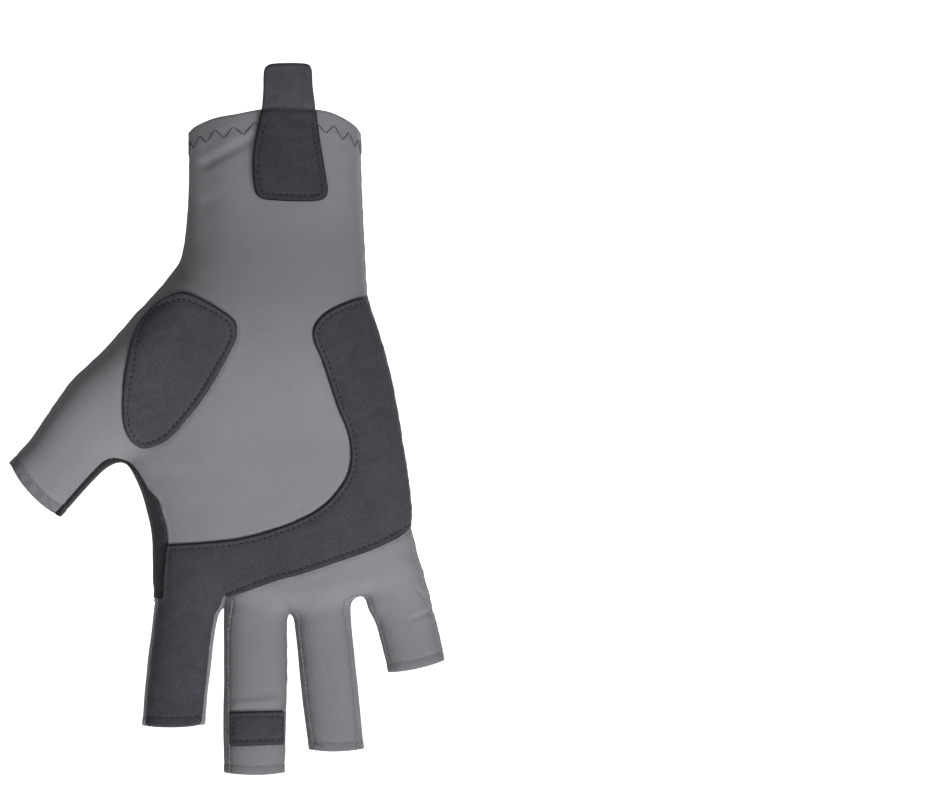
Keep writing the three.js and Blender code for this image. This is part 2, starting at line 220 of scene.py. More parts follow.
# Hand: level, thumb side, little finger side, palm depth, back depth.
HAND_ROWS = [
    (30.0, -29.2, 29.6, 20.8, 21.0),
    (0.0, -29.5, 29.9, 20.7, 21.0),
    (-12.0, -29.6, 30.2, 20.4, 20.8),
    (-26.0, -30.0, 30.6, 19.9, 20.5),
    (-39.0, -31.2, 31.2, 19.6, 20.0),
    (-50.0, -33.4, 31.7, 19.6, 19.0),
    (-60.0, -35.6, 32.4, 19.8, 18.0),
    (-74.0, -38.6, 35.8, 19.7, 17.2),
    (-88.0, -43.0, 39.3, 19.0, 16.8),
    (-102.0, -48.4, 41.8, 17.8, 16.6),
    (-110.0, -50.9, 43.1, 17.0, 16.5),
    (-116.0, -50.0, 44.1, 16.8, 16.4),
    (-123.0, -47.6, 45.0, 16.4, 16.2),
    (-131.0, -45.2, 45.9, 15.9, 16.0),
    (-141.0, -43.0, 47.0, 15.2, 15.6),
    (-152.0, -42.1, 48.3, 14.0, 14.8),
    (-170.0, -41.6, 49.5, 12.4, 12.8),
]
INDEX_ROWS = [
    (-40.4, -150.0, -15.4, -150.0, 11.4, 11.4),
    (-40.9, -160.0, -16.2, -160.0, 11.1, 11.0),
    (-41.8, -165.0, -17.0, -165.0, 11.0, 10.8),
    (-42.3, -170.0, -19.6, -170.0, 10.7, 10.4),
    (-42.9, -177.0, -20.9, -177.0, 10.5, 10.1),
    (-43.9, -188.0, -22.1, -188.0, 10.2, 9.8),
    (-45.2, -199.0, -23.3, -198.5, 9.8, 9.4),
    (-46.2, -207.9, -24.0, -207.6, 9.5, 9.2),
]
MIDDLE_ROWS = [
    (-17.8, -150.0, 5.6, -150.0, 11.4, 11.4),
    (-17.4, -166.0, 5.0, -166.0, 10.9, 10.8),
    (-17.5, -174.0, 4.3, -174.0, 10.7, 10.5),
    (-17.6, -188.0, 4.2, -188.0, 10.4, 10.1),
    (-17.8, -206.0, 4.0, -206.0, 9.9, 9.6),
    (-17.5, -224.4, 3.7, -224.4, 9.5, 9.2),
]
RING_ROWS = [
    (4.8, -150.0, 27.6, -150.0, 11.0, 11.0),
    (5.8, -166.0, 26.8, -166.5, 10.5, 10.3),
    (7.1, -173.0, 27.1, -173.0, 10.4, 10.2),
    (8.6, -187.0, 28.4, -186.0, 10.0, 9.7),
    (10.6, -205.0, 30.2, -204.0, 9.6, 9.3),
    (12.1, -216.4, 31.4, -216.0, 9.2, 9.0),
]
LITTLE_ROWS = [
    (25.0, -142.0, 48.4, -142.0, 10.6, 10.4),
    (31.2, -158.0, 52.0, -155.0, 10.2, 10.0),
    (34.9, -169.5, 55.0, -165.5, 9.7, 9.5),
    (37.7, -180.0, 57.5, -175.5, 9.3, 9.0),
    (39.9, -189.4, 59.3, -185.2, 8.9, 8.7),
]
THUMB_ROWS = [
    (-32.8, -46.4, -16.8, -63.7, 10.5, 10.5),
    (-39.6, -55.2, -21.7, -77.7, 13.0, 12.0),
    (-48.6, -65.2, -29.4, -92.4, 15.4, 12.8),
    (-59.2, -77.2, -39.9, -105.2, 15.4, 13.0),
    (-70.5, -88.9, -51.9, -112.6, 14.0, 12.5),
    (-79.1, -99.8, -61.3, -120.6, 12.6, 11.8),
    (-85.6, -109.2, -67.6, -127.6, 11.6, 11.0),
    (-92.0, -116.8, -74.4, -135.2, 10.8, 10.4),
]
hand = Limb((0.0, 0.0), 0.0, [(a, z, b, z, p, q) for z, a, b, p, q in HAND_ROWS],
            [(70, 2.25), (112, 2.8)])
index = Limb((-29.0, -150.0), -5.0, INDEX_ROWS, [(6, 2.25), (24, 2.5)], root=-2.0)
middle = Limb((-6.2, -150.0), 0.0, MIDDLE_ROWS, [(6, 2.25), (24, 2.5)], root=-2.0)
ring = Limb((16.2, -150.0), 4.6, RING_ROWS, [(6, 2.25), (24, 2.5)], root=-2.0)
little = Limb((37.0, -142.0), 15.5, LITTLE_ROWS, [(6, 2.25), (24, 2.5)], root=2.0)
thumb = Limb((-24.8, -55.0), -39.3, THUMB_ROWS, [(30, 2.2), (55, 2.55)], root=4.0, bulge=1.8)
FINGERS = {"index": index, "middle": middle, "ring": ring, "little": little}

# The hand's lower end, where the fingers part: (x, z).
WEBS = np.array([(-50, -163.0), (-30, -163.0), (-18, -160.7), (-8, -165.0), (5.8, -168.0), (18, -165.6),
                 (29.5, -163.3), (40, -160.0), (60, -157.0)])


# How far the little finger's side of the palm stands out beyond the sections: level, move.
SIDE_ROWS = np.array([(-58.0, 0.1), (-63.7, 0.75), (-68.6, 1.3), (-76.0, 1.5), (-110.0, 1.5), (-120.0, 1.7),
                      (-129.0, 1.8), (-134.0, 1.65), (-137.6, 1.0), (-141.0, 0.0), (-147.7, -0.7),
                      (-153.0, -0.1), (-156.0, 0.0)])
SIDE_LEVELS = np.linspace(58.0, 156.0, 300)
SIDE_MOVES = fine_curve(-SIDE_ROWS[:, 0], SIDE_ROWS[:, 1], SIDE_LEVELS)
# Small pushes of the form in the plane of the palm: place (x, z), move (x, z), reach (x, z).
PUSHES = [
    (35.0, -165.5, -1.9, 0.0, 4.2, 5.0),
    (-45.5, -188.0, -0.5, 0.0, 6.0, 13.0),
    (4.4, -190.0, 0.35, 0.0, 4.0, 16.0),
    (-71.0, -88.0, -0.5, 0.4, 8.0, 8.0),
    (56.5, -167.9, -0.55, 0.0, 2.6, 1.1),
    (-38.0, -52.6, 0.6, -0.5, 5.0, 5.0),
    (-49.6, -119.6, -0.5, -0.45, 5.0, 4.5),
    (-92.0, -115.0, -0.34, 0.42, 5.0, 5.0),
]


def form(x, y, z):
    """Distance from the filled-out glove's outer face."""
    mx = np.interp(-z, SIDE_LEVELS, SIDE_MOVES) * ramp((x - 12.0) / 24.0)
    mx = np.where((z < -58) & (z > -156), mx, 0.0)
    mz = 0.0
    for px, pz, ax, az, rx, rz in PUSHES:
        w = np.exp(-((x - px) / rx) ** 2 - ((z - pz) / rz) ** 2)
        mx, mz = mx + ax * w, mz + az * w
    x, z = x - mx, z - mz
    d = hand.distance(x, y, z)
    d = smax(d, np.interp(x, WEBS[:, 0], WEBS[:, 1]) - z, 7.0)
    f = index.distance(x, y, z)
    for limb in (middle, ring, little):
        f = smin(f, limb.distance(x, y, z), 0.7)
    d = smin(d, f, 4.0)
    return smin(d, thumb.distance(x, y, z), 9.0)


def gradient(P, h=0.05):
    g = np.empty_like(P)
    for i in range(3):
        lo, hi = P.copy(), P.copy()
        lo[:, i] -= h
        hi[:, i] += h
        g[:, i] = (form(*hi.T) - form(*lo.T)) / (2 * h)
    return g


def unit(v):
    return v / np.maximum(np.linalg.norm(v, axis=1, keepdims=True), 1e-12)


def settle(P, steps=3, level=0.0):
    """Moves points onto the form's face."""
    P = P.copy()
    for _ in range(steps):
        g = gradient(P)
        f = form(*P.T) - level
        P -= g * np.clip(f, -2, 2)[:, None] / np.maximum((g * g).sum(axis=1), 0.2)[:, None]
    return P


def face_net():
    """Surface nets over the form, as points and triangles."""
    lo, hi = np.array([-99.0, -31.0, -229.0]), np.array([64.0, 25.0, 12.0])
    n = np.ceil((hi - lo) / PITCH).astype(int)
    ax = [lo[i] + np.arange(n[i]) * PITCH for i in range(3)]
    F = np.full(n, 20.0)
    # a coarse look first finds the cells near the face
    step = 4
    cax = [a[::step] for a in ax]
    C = form(*np.meshgrid(*cax, indexing="ij"))
    near = np.abs(C) < step * PITCH * 1.9
    for i, j, k in np.argwhere(near):
        F[i * step:(i + 1) * step + 1, j * step:(j + 1) * step + 1, k * step:(k + 1) * step + 1] = 99.0
    todo = F > 90
    # inside and outside far from the face
    big = C.repeat(step, 0).repeat(step, 1).repeat(step, 2)[:n[0], :n[1], :n[2]]
    F[:big.shape[0], :big.shape[1], :big.shape[2]] = np.where(todo, F, big)
    I = np.argwhere(todo)
    P = lo + I * PITCH
    F[todo] = form(*P.T)
    neg = F < 0
    corner = [(a, b, c) for a in (0, 1) for b in (0, 1) for c in (0, 1)]
    sl = lambda o, m=1: tuple(slice(o[i], F.shape[i] - m + o[i]) for i in range(3))
    count = sum(neg[sl(o)].astype(np.int8) for o in corner)
    cells = np.argwhere((count > 0) & (count < 8))
    ids = -np.ones([s - 1 for s in F.shape], int)
    ids[tuple(cells.T)] = np.arange(len(cells))
    total, weight = np.zeros((len(cells), 3)), np.zeros(len(cells))
    for a in corner:
        for axis in range(3):
            if a[axis]:
                continue
            b = list(a)
            b[axis] = 1
            fa = F[tuple((cells + a).T)]
            fb = F[tuple((cells + b).T)]
            hit = (fa < 0) != (fb < 0)
            t = np.where(hit, fa / np.where(hit, fa - fb, 1), 0)
            p = np.array(a, float) + np.outer(t, np.eye(3)[axis])
            total += p * hit[:, None]
            weight += hit
    V = lo + (cells + total / weight[:, None]) * PITCH
    quads = []
    for axis in range(3):
        u, v = [(1, 2), (2, 0), (0, 1)][axis]
        e = np.argwhere(np.diff(neg.astype(np.int8), axis=axis) != 0)
        e = e[(e[:, u] > 0) & (e[:, v] > 0) & (e[:, u] < F.shape[u] - 1) & (e[:, v] < F.shape[v] - 1)]
        inward = neg[tuple(e.T)]
        q = []
        for du, dv in ((-1, -1), (0, -1), (0, 0), (-1, 0)):
            c = e.copy()
            c[:, u] += du
            c[:, v] += dv
            q.append(ids[tuple(c.T)])
        q = np.stack(q, 1)
        q[~inward] = q[~inward][:, ::-1]
        quads.append(q)
    Q = np.concatenate(quads)
    V = settle(V, 2)
    # ease the net along the face, then settle it again
    for _ in range(2):
        acc, cnt = np.zeros_like(V), np.zeros(len(V))
        for i in range(4):
            a, b = Q[:, i], Q[:, (i + 1) % 4]
            np.add.at(acc, a, V[b])
            np.add.at(acc, b, V[a])
            np.add.at(cnt, a, 1)
            np.add.at(cnt, b, 1)
        V = V + 0.5 * (acc / cnt[:, None] - V)
    V = settle(V, 2)
    d1 = np.linalg.norm(V[Q[:, 0]] - V[Q[:, 2]], axis=1)
    d2 = np.linalg.norm(V[Q[:, 1]] - V[Q[:, 3]], axis=1)
    s = (d1 <= d2)[:, None]
    T = np.concatenate([np.where(s, Q[:, [0, 1, 2]], Q[:, [0, 1, 3]]),
                        np.where(s, Q[:, [0, 2, 3]], Q[:, [1, 2, 3]])])
    return V, T


# ---------------------------------------------------------------- cutting the net
class Net:
    def __init__(self, V, T):
        self.V, self.T = V, T
        self.lab = np.zeros(len(T), np.int64)      # one bit for each cut
        self.lock = np.zeros(len(V), bool)

    def cut(self, value, bit, snap=0.32, slide=True):
        """Cuts along value = 0. Triangles on its positive side get the bit."""
        s = value(self.V)
        if slide:
            near = (np.abs(s) < snap) & ~self.lock
            if near.any():
                P = self.V[near]
                h = 0.05
                g = np.stack([(value(P + np.eye(3)[i] * h) - value(P - np.eye(3)[i] * h)) / (2 * h)
                              for i in range(3)], axis=1)
                nrm = unit(gradient(P))
                g -= nrm * (g * nrm).sum(axis=1, keepdims=True)
                gg = (g * g).sum(axis=1)
                ok = gg > 0.08
                stepv = g * (s[near] / np.maximum(gg, 0.08))[:, None]
                size = np.linalg.norm(stepv, axis=1)
                ok &= size < 0.5
                idx = np.flatnonzero(near)[ok]
                self.V[idx] = settle(P[ok] - stepv[ok], 1)
                s[idx] = 0
                self.lock[idx] = True
        s[np.abs(s) < 0.03] = 0
        self.split(s, bit)

    def split(self, s, bit):
        sg = np.sign(s).astype(int)
        st = sg[self.T]
        cross = (st.max(axis=1) > 0) & (st.min(axis=1) < 0)
        keep, keep_lab = self.T[~cross], self.lab[~cross]
        plus = st[~cross].sum(axis=1) > 0
        T, lab, st = self.T[cross], self.lab[cross], st[cross]
        new_T, new_lab, new_plus = [keep], [keep_lab], [plus]
        zero = (st == 0).any(axis=1)
        # the odd vertex comes first
        odd = np.where(zero, np.argmax(st == 0, axis=1),
                       np.argmax(st * -np.sign(st.sum(axis=1))[:, None], axis=1))
        r = np.arange(len(T))
        T = np.stack([T[r, (odd + i) % 3] for i in range(3)], 1)
        st = np.stack([st[r, (odd + i) % 3] for i in range(3)], 1)
        e1 = np.where(zero[:, None], T[:, [1, 2]], T[:, [0, 1]])
        e2 = np.where(zero[:, None], T[:, [1, 2]], T[:, [0, 2]])
        E = np.sort(np.concatenate([e1, e2]), axis=1)
        key = E[:, 0].astype(np.int64) * (len(self.V) + 1) + E[:, 1]
        uniq, first, inv = np.unique(key, return_index=True, return_inverse=True)
        inv = inv.reshape(-1)
        a, b = E[first, 0], E[first, 1]
        t = s[a] / (s[a] - s[b])
        base = len(self.V)
        self.V = np.concatenate([self.V, self.V[a] + (self.V[b] - self.V[a]) * t[:, None]])
        self.lock = np.concatenate([self.lock, np.ones(len(a), bool)])
        n1, n2 = base + inv[:len(T)], base + inv[len(T):]
        z = zero
        for tri, sign, m in (
            (np.stack([T[:, 0], T[:, 1], n1], 1), st[:, 1], z),
            (np.stack([T[:, 0], n1, T[:, 2]], 1), st[:, 2], z),
            (np.stack([T[:, 0], n1, n2], 1), st[:, 0], ~z),
            (np.stack([n1, T[:, 1], T[:, 2]], 1), st[:, 1], ~z),
            (np.stack([n1, T[:, 2], n2], 1), st[:, 1], ~z),
        ):
            new_T.append(tri[m])
            new_lab.append(lab[m])
            new_plus.append(sign[m] > 0)
        self.T = np.concatenate(new_T)
        self.lab = np.concatenate(new_lab)
        if bit is not None:
            self.lab |= np.where(np.concatenate(new_plus), 1 << bit, 0)

    def part(self, mask):
        """The triangles of the mask as a net of their own."""
        used, inv = np.unique(self.T[mask], return_inverse=True)
        out = Net(self.V[used].copy(), inv.reshape(-1, 3))
        out.lab = self.lab[mask].copy()
        return out

    def keep_main(self, least=60):
        """Drops specks that a cut leaves: groups of fewer triangles than least."""
        par = np.arange(len(self.V))
        for _ in range(200):
            m = par[self.T].min(axis=1)
            new = par.copy()
            for i in range(3):
                np.minimum.at(new, self.T[:, i], m)
            new = new[new]
            if (new == par).all():
                break
            par = new
        root = par[self.T[:, 0]]
        size = np.bincount(root, minlength=len(self.V))
        return self.part(size[root] >= least)


def rim_edges(T):
    """Directed edges with a triangle on one side only."""
    E = np.concatenate([T[:, [0, 1]], T[:, [1, 2]], T[:, [2, 0]]])
    n = T.max() + 1
    key = E[:, 0].astype(np.int64) * n + E[:, 1]
    back = E[:, 1].astype(np.int64) * n + E[:, 0]
    return E[~np.isin(key, back)]


def distance_to(P, A, B):
    """Distance from each point to the nearest of the segments A-B."""
    mids = (A + B) / 2
    tree = KDTree(3 * len(A))
    k = 0
    owner = []
    for i in range(len(A)):
        for q in (A[i], mids[i], B[i]):
            tree.insert(q, k)
            owner.append(i)
            k += 1
    tree.balance()
    owner = np.array(owner)
    near = np.empty(len(P), int)
    for i, p in enumerate(P):
        near[i] = tree.find(p)[1]
    s = owner[near]
    e = B[s] - A[s]
    w = P - A[s]
    t = np.clip((w * e).sum(axis=1) / np.maximum((e * e).sum(axis=1), 1e-12), 0, 1)
    return np.linalg.norm(w - e * t[:, None], axis=1)


# ---------------------------------------------------------------- seams and outlines
def rim_height(x, y):
    q = np.minimum(np.abs(y) / 21.0, 1.0)
    uneven = -1.58 * bell(x + 15.5, 10.5) + 0.8 * bell(x - 19.5, 6.0)
    corner = -0.55 * bell(x + 25.5, 4.5) * ramp(-y / 4.0)
    return -1.2 + corner + q ** 1.35 * np.where(y < 0, 8.7 + uneven, 5.0)


def zone(limb, margin=3.0, length=22.0):
    def inside(P):
        s, t = limb.local(P[:, 0], P[:, 2])
        L, R, _, _ = limb.at(s)
        return (t > L - margin) & (t < R + margin) & (s > limb.s_end - length)
    return inside


def end_cut(limb):
    near = zone(limb)

    def value(P):
        return np.where(near(P), limb.beyond(P[:, 0], P[:, 2]), -9.0)
    return value


def web_band(P):
    """Half width of the side strips, towards the palm."""
    x, z = P[:, 0], P[:, 2]
    wide = 1.8 * ramp((z + 178) / 16)
    high = 1.0 + 0.6 * ramp((z + 200) / 22)
    facing = np.zeros(len(P))
    for a, b, right, left in ((index, middle, high, 0.3 + wide), (middle, ring, -3.0 + wide, 0.2 + wide),
                              (ring, little, 0.2 + wide, -1.2 + wide)):
        sa, ta = a.local(x, z)
        sb, tb = b.local(x, z)
        La, Ra, _, _ = a.at(sa)
        Lb, Rb, _, _ = b.at(sb)
        nearer = ramp(0.5 + ((ta - Ra) - (Lb - tb)) / 5.0)
        between = (ta > (La + Ra) / 2) & (tb < (Lb + Rb) / 2)
        facing = np.where(between, right * (1 - nearer) + left * nearer, facing)
    return 5.2 + facing * (P[:, 1] < seam_y(x, z))


def strip_zone(a, b):
    def inside(P):
        x, z = P[:, 0], P[:, 2]
        sa, ta = a.local(x, z)
        sb, tb = b.local(x, z)
        La, Ra, _, _ = a.at(sa)
        Lb, Rb, _, _ = b.at(sb)
        return np.minimum(ta - (La + Ra) / 2, (Lb + Rb) / 2 - tb)
    return inside


def strip_value(P):
    """Only between the fingers."""
    band = web_band(P) - np.abs(P[:, 1] - seam_y(P[:, 0], P[:, 2]))
    between = np.full(len(P), -9.0)
    for a, b in ((index, middle), (middle, ring), (ring, little)):
        between = np.maximum(between, strip_zone(a, b)(P))
    return np.minimum(np.minimum(band, between), -150.0 - P[:, 2])


# Between the palm side and the back: straight on the side seams, but on the index finger's
# outer side the back's cloth comes round towards the palm.
def side_value(P):
    x, y, z = P.T
    reach = np.interp(-z, [164.0, 180.0, 198.0, 212.0], [6.9, 6.5, 6.1, 6.0])
    lean = -reach * ramp((-z - 158.5) / 6.0) * ramp((-26 - x) / 6.0)
    return y - seam_y(x, z) - lean


GUSSET_PALM = spline([
    (-77.3, -134.8), (-72.9, -130.5), (-68.3, -125.3), (-64.0, -120.5), (-60.2, -116.7), (-56.2, -115.0),
    (-50.4, -116.7), (-46.4, -121.9), (-44.3, -125.6), (-41.9, -128.2), (-40.4, -130.6), (-39.1, -134.8),
    (-37.8, -140.0), (-37.5, -145.3), (-38.1, -150.5), (-38.5, -157.0), (-38.6, -163.4)], steps=5)
GUSSET_PALM = np.concatenate([GUSSET_PALM, [(-60, -163.4), (-60, -150), (-70, -142), (-78, -141)]])
GUSSET_BACK = spline([
    (-90.0, -126.5), (-85.2, -123.0), (-75.4, -112.8), (-67.7, -106.6), (-60.4, -102.2), (-55.5, -101.8),
    (-51.2, -104.8), (-46.9, -111.7), (-44.0, -121.1), (-42.3, -132.3), (-41.4, -148.8), (-41.0, -163.4)], steps=5)
GUSSET_BACK = np.concatenate([GUSSET_BACK, [(-60, -163.4), (-60, -150), (-70, -142), (-86, -138)]])


def gusset_value(P):
    x, y, z = P.T
    out = np.full(len(P), -9.0)
    near = (x < -34) & (z < -96) & (z > -170)
    palm = near & (y < seam_y(x, z))
    back = near & ~palm
    out[palm] = poly_distance(x[palm], z[palm], GUSSET_PALM)
    out[back] = poly_distance(x[back], z[back], GUSSET_BACK)
    return out


THENAR = spline([
    (-31.2, -57.0), (-37.0, -58.6), (-42.4, -62.0), (-46.8, -67.2), (-49.6, -73.6), (-51.4, -81.2),
    (-52.8, -90.0), (-52.9, -100.6), (-51.6, -106.0), (-48.6, -109.9), (-44.4, -111.2), (-37.2, -108.2),
    (-30.4, -100.8), (-23.8, -92.2), (-17.9, -82.1), (-13.8, -74.0), (-13.2, -70.2), (-14.4, -66.2),
    (-23.2, -60.2)], closed=True, steps=5)
PALM_J = spline([
    (38.0, -57.2), (33.0, -58.3), (26.6, -59.9), (19.6, -63.1), (15.8, -66.2), (13.7, -70.0), (14.0, -73.9),
    (16.5, -79.9), (19.3, -88.0), (22.4, -97.4), (25.2, -104.0), (26.6, -109.6), (26.9, -114.9), (25.9, -120.1),
    (23.1, -125.3), (18.9, -130.2), (13.6, -134.1), (6.3, -137.6), (-3.1, -140.8), (-13.6, -143.3),
    (-26.9, -144.6), (-37.4, -145.3), (-43.0, -145.6)], steps=5)
PALM_LOW = spline([
    (-19.4, -172.6), (-19.8, -167.6), (-17.7, -164.6), (-14.4, -162.9), (-7.7, -160.6), (1.0, -157.5),
    (9.1, -155.4), (17.0, -152.8), (25.2, -150.0), (33.0, -147.3), (41.8, -143.4), (46.5, -140.0), (49.3, -136.6)], steps=5)
PALM_PATCH = np.concatenate([
    [(60, -54.0)], PALM_J, [(-47.0, -150.0), (-55, -170), (-60, -215), (-20.8, -215), (-20.4, -200.0)],
    PALM_LOW, [(60, -131.0)]])
MIDDLE_PATCH = np.array([(-15.3, -203.9), (-6.0, -203.6), (3.1, -203.4), (3.1, -215.0), (-6.0, -215.3),
                         (-15.3, -215.6)])


def outline_value(poly):
    lo, hi = poly.min(axis=0) - 2, poly.max(axis=0) + 2

    def value(P):
        x, y, z = P.T
        out = np.full(len(P), -9.0)
        near = (x > lo[0]) & (x < hi[0]) & (z > lo[1]) & (z < hi[1]) & (y < seam_y(x, z) + 2)
        out[near] = poly_distance(x[near], z[near], poly)
        return out
    return value


def middle_patch_value(P):
    s, t = middle.local(P[:, 0], P[:, 2])
    return np.where((t > -13) & (t < 13), outline_value(MIDDLE_PATCH)(P), -9.0)


# ---------------------------------------------------------------- folds in the cloth
# Lines on one face: (points x z, depth, width, ridge, side), side -1 palm, 1 back.
FOLDS = [
    ([(-27.6, -15.6), (-24.5, -12.4), (-16.0, -7.6), (-9.1, -4.2), (-3.0, -2.7)], 0.62, 1.7, 0.22, -1),
    ([(-27.0, -28.6), (-23.0, -25.5), (-16.0, -24.0)], 0.2, 2.4, 0.1, -1),
    ([(8.6, -188.0), (14.0, -188.3), (20.0, -188.5), (27.8, -187.7)], -0.14, 0.8, 0.0, -1),
    ([(-16.5, -200.9), (-10.0, -200.6), (-4.0, -200.0), (3.0, -199.2)], -0.42, 1.15, -0.1, -1),
    ([(46.0, -172.0), (51.0, -170.0), (57.5, -167.6)], 0.42, 0.8, 0.16, -1),
    ([(49.0, -159.4), (52.4, -163.2), (56.4, -168.0)], 0.34, 0.8, 0.14, -1),
    ([(50.0, -155.0), (52.6, -157.2), (55.0, -160.4)], 0.24, 0.8, 0.1, -1),
    ([(-44.0, -118.0), (-36.0, -121.0), (-28.0, -122.0)], 0.25, 2.6, 0.15, -1),
    ([(-43.0, -127.0), (-36.0, -131.0), (-27.0, -134.0)], 0.2, 2.4, 0.15, -1),
    ([(-35.5, -47.0), (-28.0, -52.0), (-20.0, -55.0)], 0.3, 3.0, 0.15, -1),
    ([(28.5, -160.2), (24.0, -160.6), (20.5, -160.0)], 0.4, 1.2, 0.3, 1),
    ([(-46.0, -104.0), (-38.0, -104.5), (-30.0, -102.0)], 0.35, 3.0, 0.2, 1),
    ([(-41.5, -158.0), (-34.0, -160.5), (-27.0, -161.0)], 0.25, 1.6, 0.2, 1),
]
FOLD_LINES = [(spline(p, steps=4), d, w, r, s) for p, d, w, r, s in FOLDS]


def relief(P):
    """How far the cloth stands off the filled-out form: slack, folds and small waves."""
    x, y, z = P.T
    side = np.where(y < seam_y(x, z), -1, 1)
    out = 0.16 * waves(P, 46.0, 3) + 0.07 * waves(P, 15.0, 4)
    for line, depth, width, ridge, face in FOLD_LINES:
        lo, hi = line.min(axis=0) - 9, line.max(axis=0) + 9
        m = np.flatnonzero((side == face) & (x > lo[0]) & (x < hi[0]) & (z > lo[1]) & (z < hi[1]))
        if not len(m):
            continue
        d, along, s = line_distance(x[m], z[m], line)
        fade = ramp(np.minimum(along, 1 - along) * 5)
        out[m] += fade * (-depth * bell(d, width) + ridge * bell(d - 1.9 * width, width) * (0.6 + 0.4 * s))
    # hem turned in at the cuff: two layers down to the zigzag seam
    below = rim_height(x, y) - z
    out += 0.2 * ramp((8.4 - below) / 1.2) + 0.14 * waves(P, 6.0, 6) * bell(below - 6, 4.0)
    return out


# ---------------------------------------------------------------- the pieces of cloth
V0, T0 = face_net()
net = Net(V0, T0)
# the open ends
net.cut(lambda P: P[:, 2] - rim_height(P[:, 0], P[:, 1]), 0)
for limb in (index, middle, ring, little, thumb):
    net.cut(end_cut(limb), 0)
net = net.part((net.lab & 1) == 0).keep_main()
HEM_LINES = [lambda P: P[:, 2] - rim_height(P[:, 0], P[:, 1])] + [
    end_cut(limb) for limb in (index, middle, ring, little, thumb)]
ends = rim_edges(net.T)
HEM_A, HEM_B = net.V[ends[:, 0]], net.V[ends[:, 1]]

STRIPS = {"index_middle": (index, middle), "middle_ring": (middle, ring), "ring_little": (ring, little)}
net.cut(strip_value, 1)
net.cut(side_value, 2)
net.cut(gusset_value, 3)
strip_of = {}
centre = net.V[net.T].mean(axis=1)
in_band = (net.lab & 2) > 0
for name, (a, b) in STRIPS.items():
    low = centre[:, 2] < -154.0
    strip_of[name] = in_band & low & (strip_zone(a, b)(centre) > 0)
in_strip = np.zeros(len(net.T), bool)
for m in strip_of.values():
    in_strip |= m
in_gusset = ((net.lab & 8) > 0) & ~in_strip
back_side = (net.lab & 4) > 0
AREAS = {
    "palm": ~in_strip & ~in_gusset & ~back_side,
    "back": ~in_strip & ~in_gusset & back_side,
    "gusset": in_gusset,
}
AREAS.update({"strip_" + k: m for k, m in strip_of.items()})
PARTS = {k: net.part(m).keep_main(40) for k, m in AREAS.items()}


def edges_split(part):
    """The part's rim, told apart: edges at an open end, and edges sewn to a neighbour."""
    E = rim_edges(part.T)
    mid = (part.V[E[:, 0]] + part.V[E[:, 1]]) / 2
    hem = distance_to(mid, HEM_A, HEM_B) < 0.06
    return E, hem


def seam_rows(part, levels, free=None):
    """Adds rows of points beside the sewn edges, and returns the distance to them."""
    E, hem = edges_split(part)
    if free is not None:
        hem = hem | free((part.V[E[:, 0]] + part.V[E[:, 1]]) / 2)
    A, B = part.V[E[~hem, 0]], part.V[E[~hem, 1]]
    if not len(A):
        return np.full(len(part.V), 99.0)
    for level in levels:
        d = distance_to(part.V, A, B)
        s = d - level
        s[np.abs(s) < 0.09] = 0
        part.split(s, None)
    return distance_to(part.V, A, B)


def dip(d):
    """A panel's edge at a seam: it rolls in, with a stitched-down ridge beside it."""
    return -0.72 * bell(d, 0.42) + 0.30 * bell(d - 0.9, 0.5) - 0.17 * bell(d - 1.75, 0.42)


def dip_strip(d):
    """The plain edge that meets that ridge."""
    return -0.55 * bell(d, 0.5) + 0.08 * bell(d - 1.6, 0.8)


def rows_at(part, distance, levels):
    """Adds rows of points where a distance has the given levels."""
    for level in levels:
        s = distance(part.V) - level
        s[np.abs(s) < 0.08] = 0
        part.split(s, None)


def mesh_object(name, V, F, material, extra=None, quads=False, mats=None, uv=None):
    me = bpy.data.meshes.new(name)
    k = 4 if quads else 3
    me.vertices.add(len(V))
    me.vertices.foreach_set("co", (V * 0.001).astype(np.float32).ravel())
    me.loops.add(len(F) * k)
    me.loops.foreach_set("vertex_index", F.astype(np.int32).ravel())
    me.polygons.add(len(F))
    me.polygons.foreach_set("loop_start", np.arange(0, len(F) * k, k, dtype=np.int32))
    me.polygons.foreach_set("loop_total", np.full(len(F), k, np.int32))
    me.update(calc_edges=True)
    me.validate()
    me.polygons.foreach_set("use_smooth", np.ones(len(me.polygons), bool))
    if uv is not None:
        layer = me.uv_layers.new(name="cloth")
        layer.data.foreach_set("uv", uv[F.ravel()].astype(np.float32).ravel())
    values = {"tone": np.ones(len(V)), "seam": np.full(len(V), 99.0), "edge": np.full(len(V), 99.0)}
    values.update(extra or {})
    for key, val in values.items():
        at = me.attributes.new(key, "FLOAT", "POINT")
        at.data.foreach_set("value", val.astype(np.float32))
    me.materials.append(material)
    ob = bpy.data.objects.new(name, me)
    bpy.context.scene.collection.objects.link(ob)
    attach(ob, "root")
    return ob


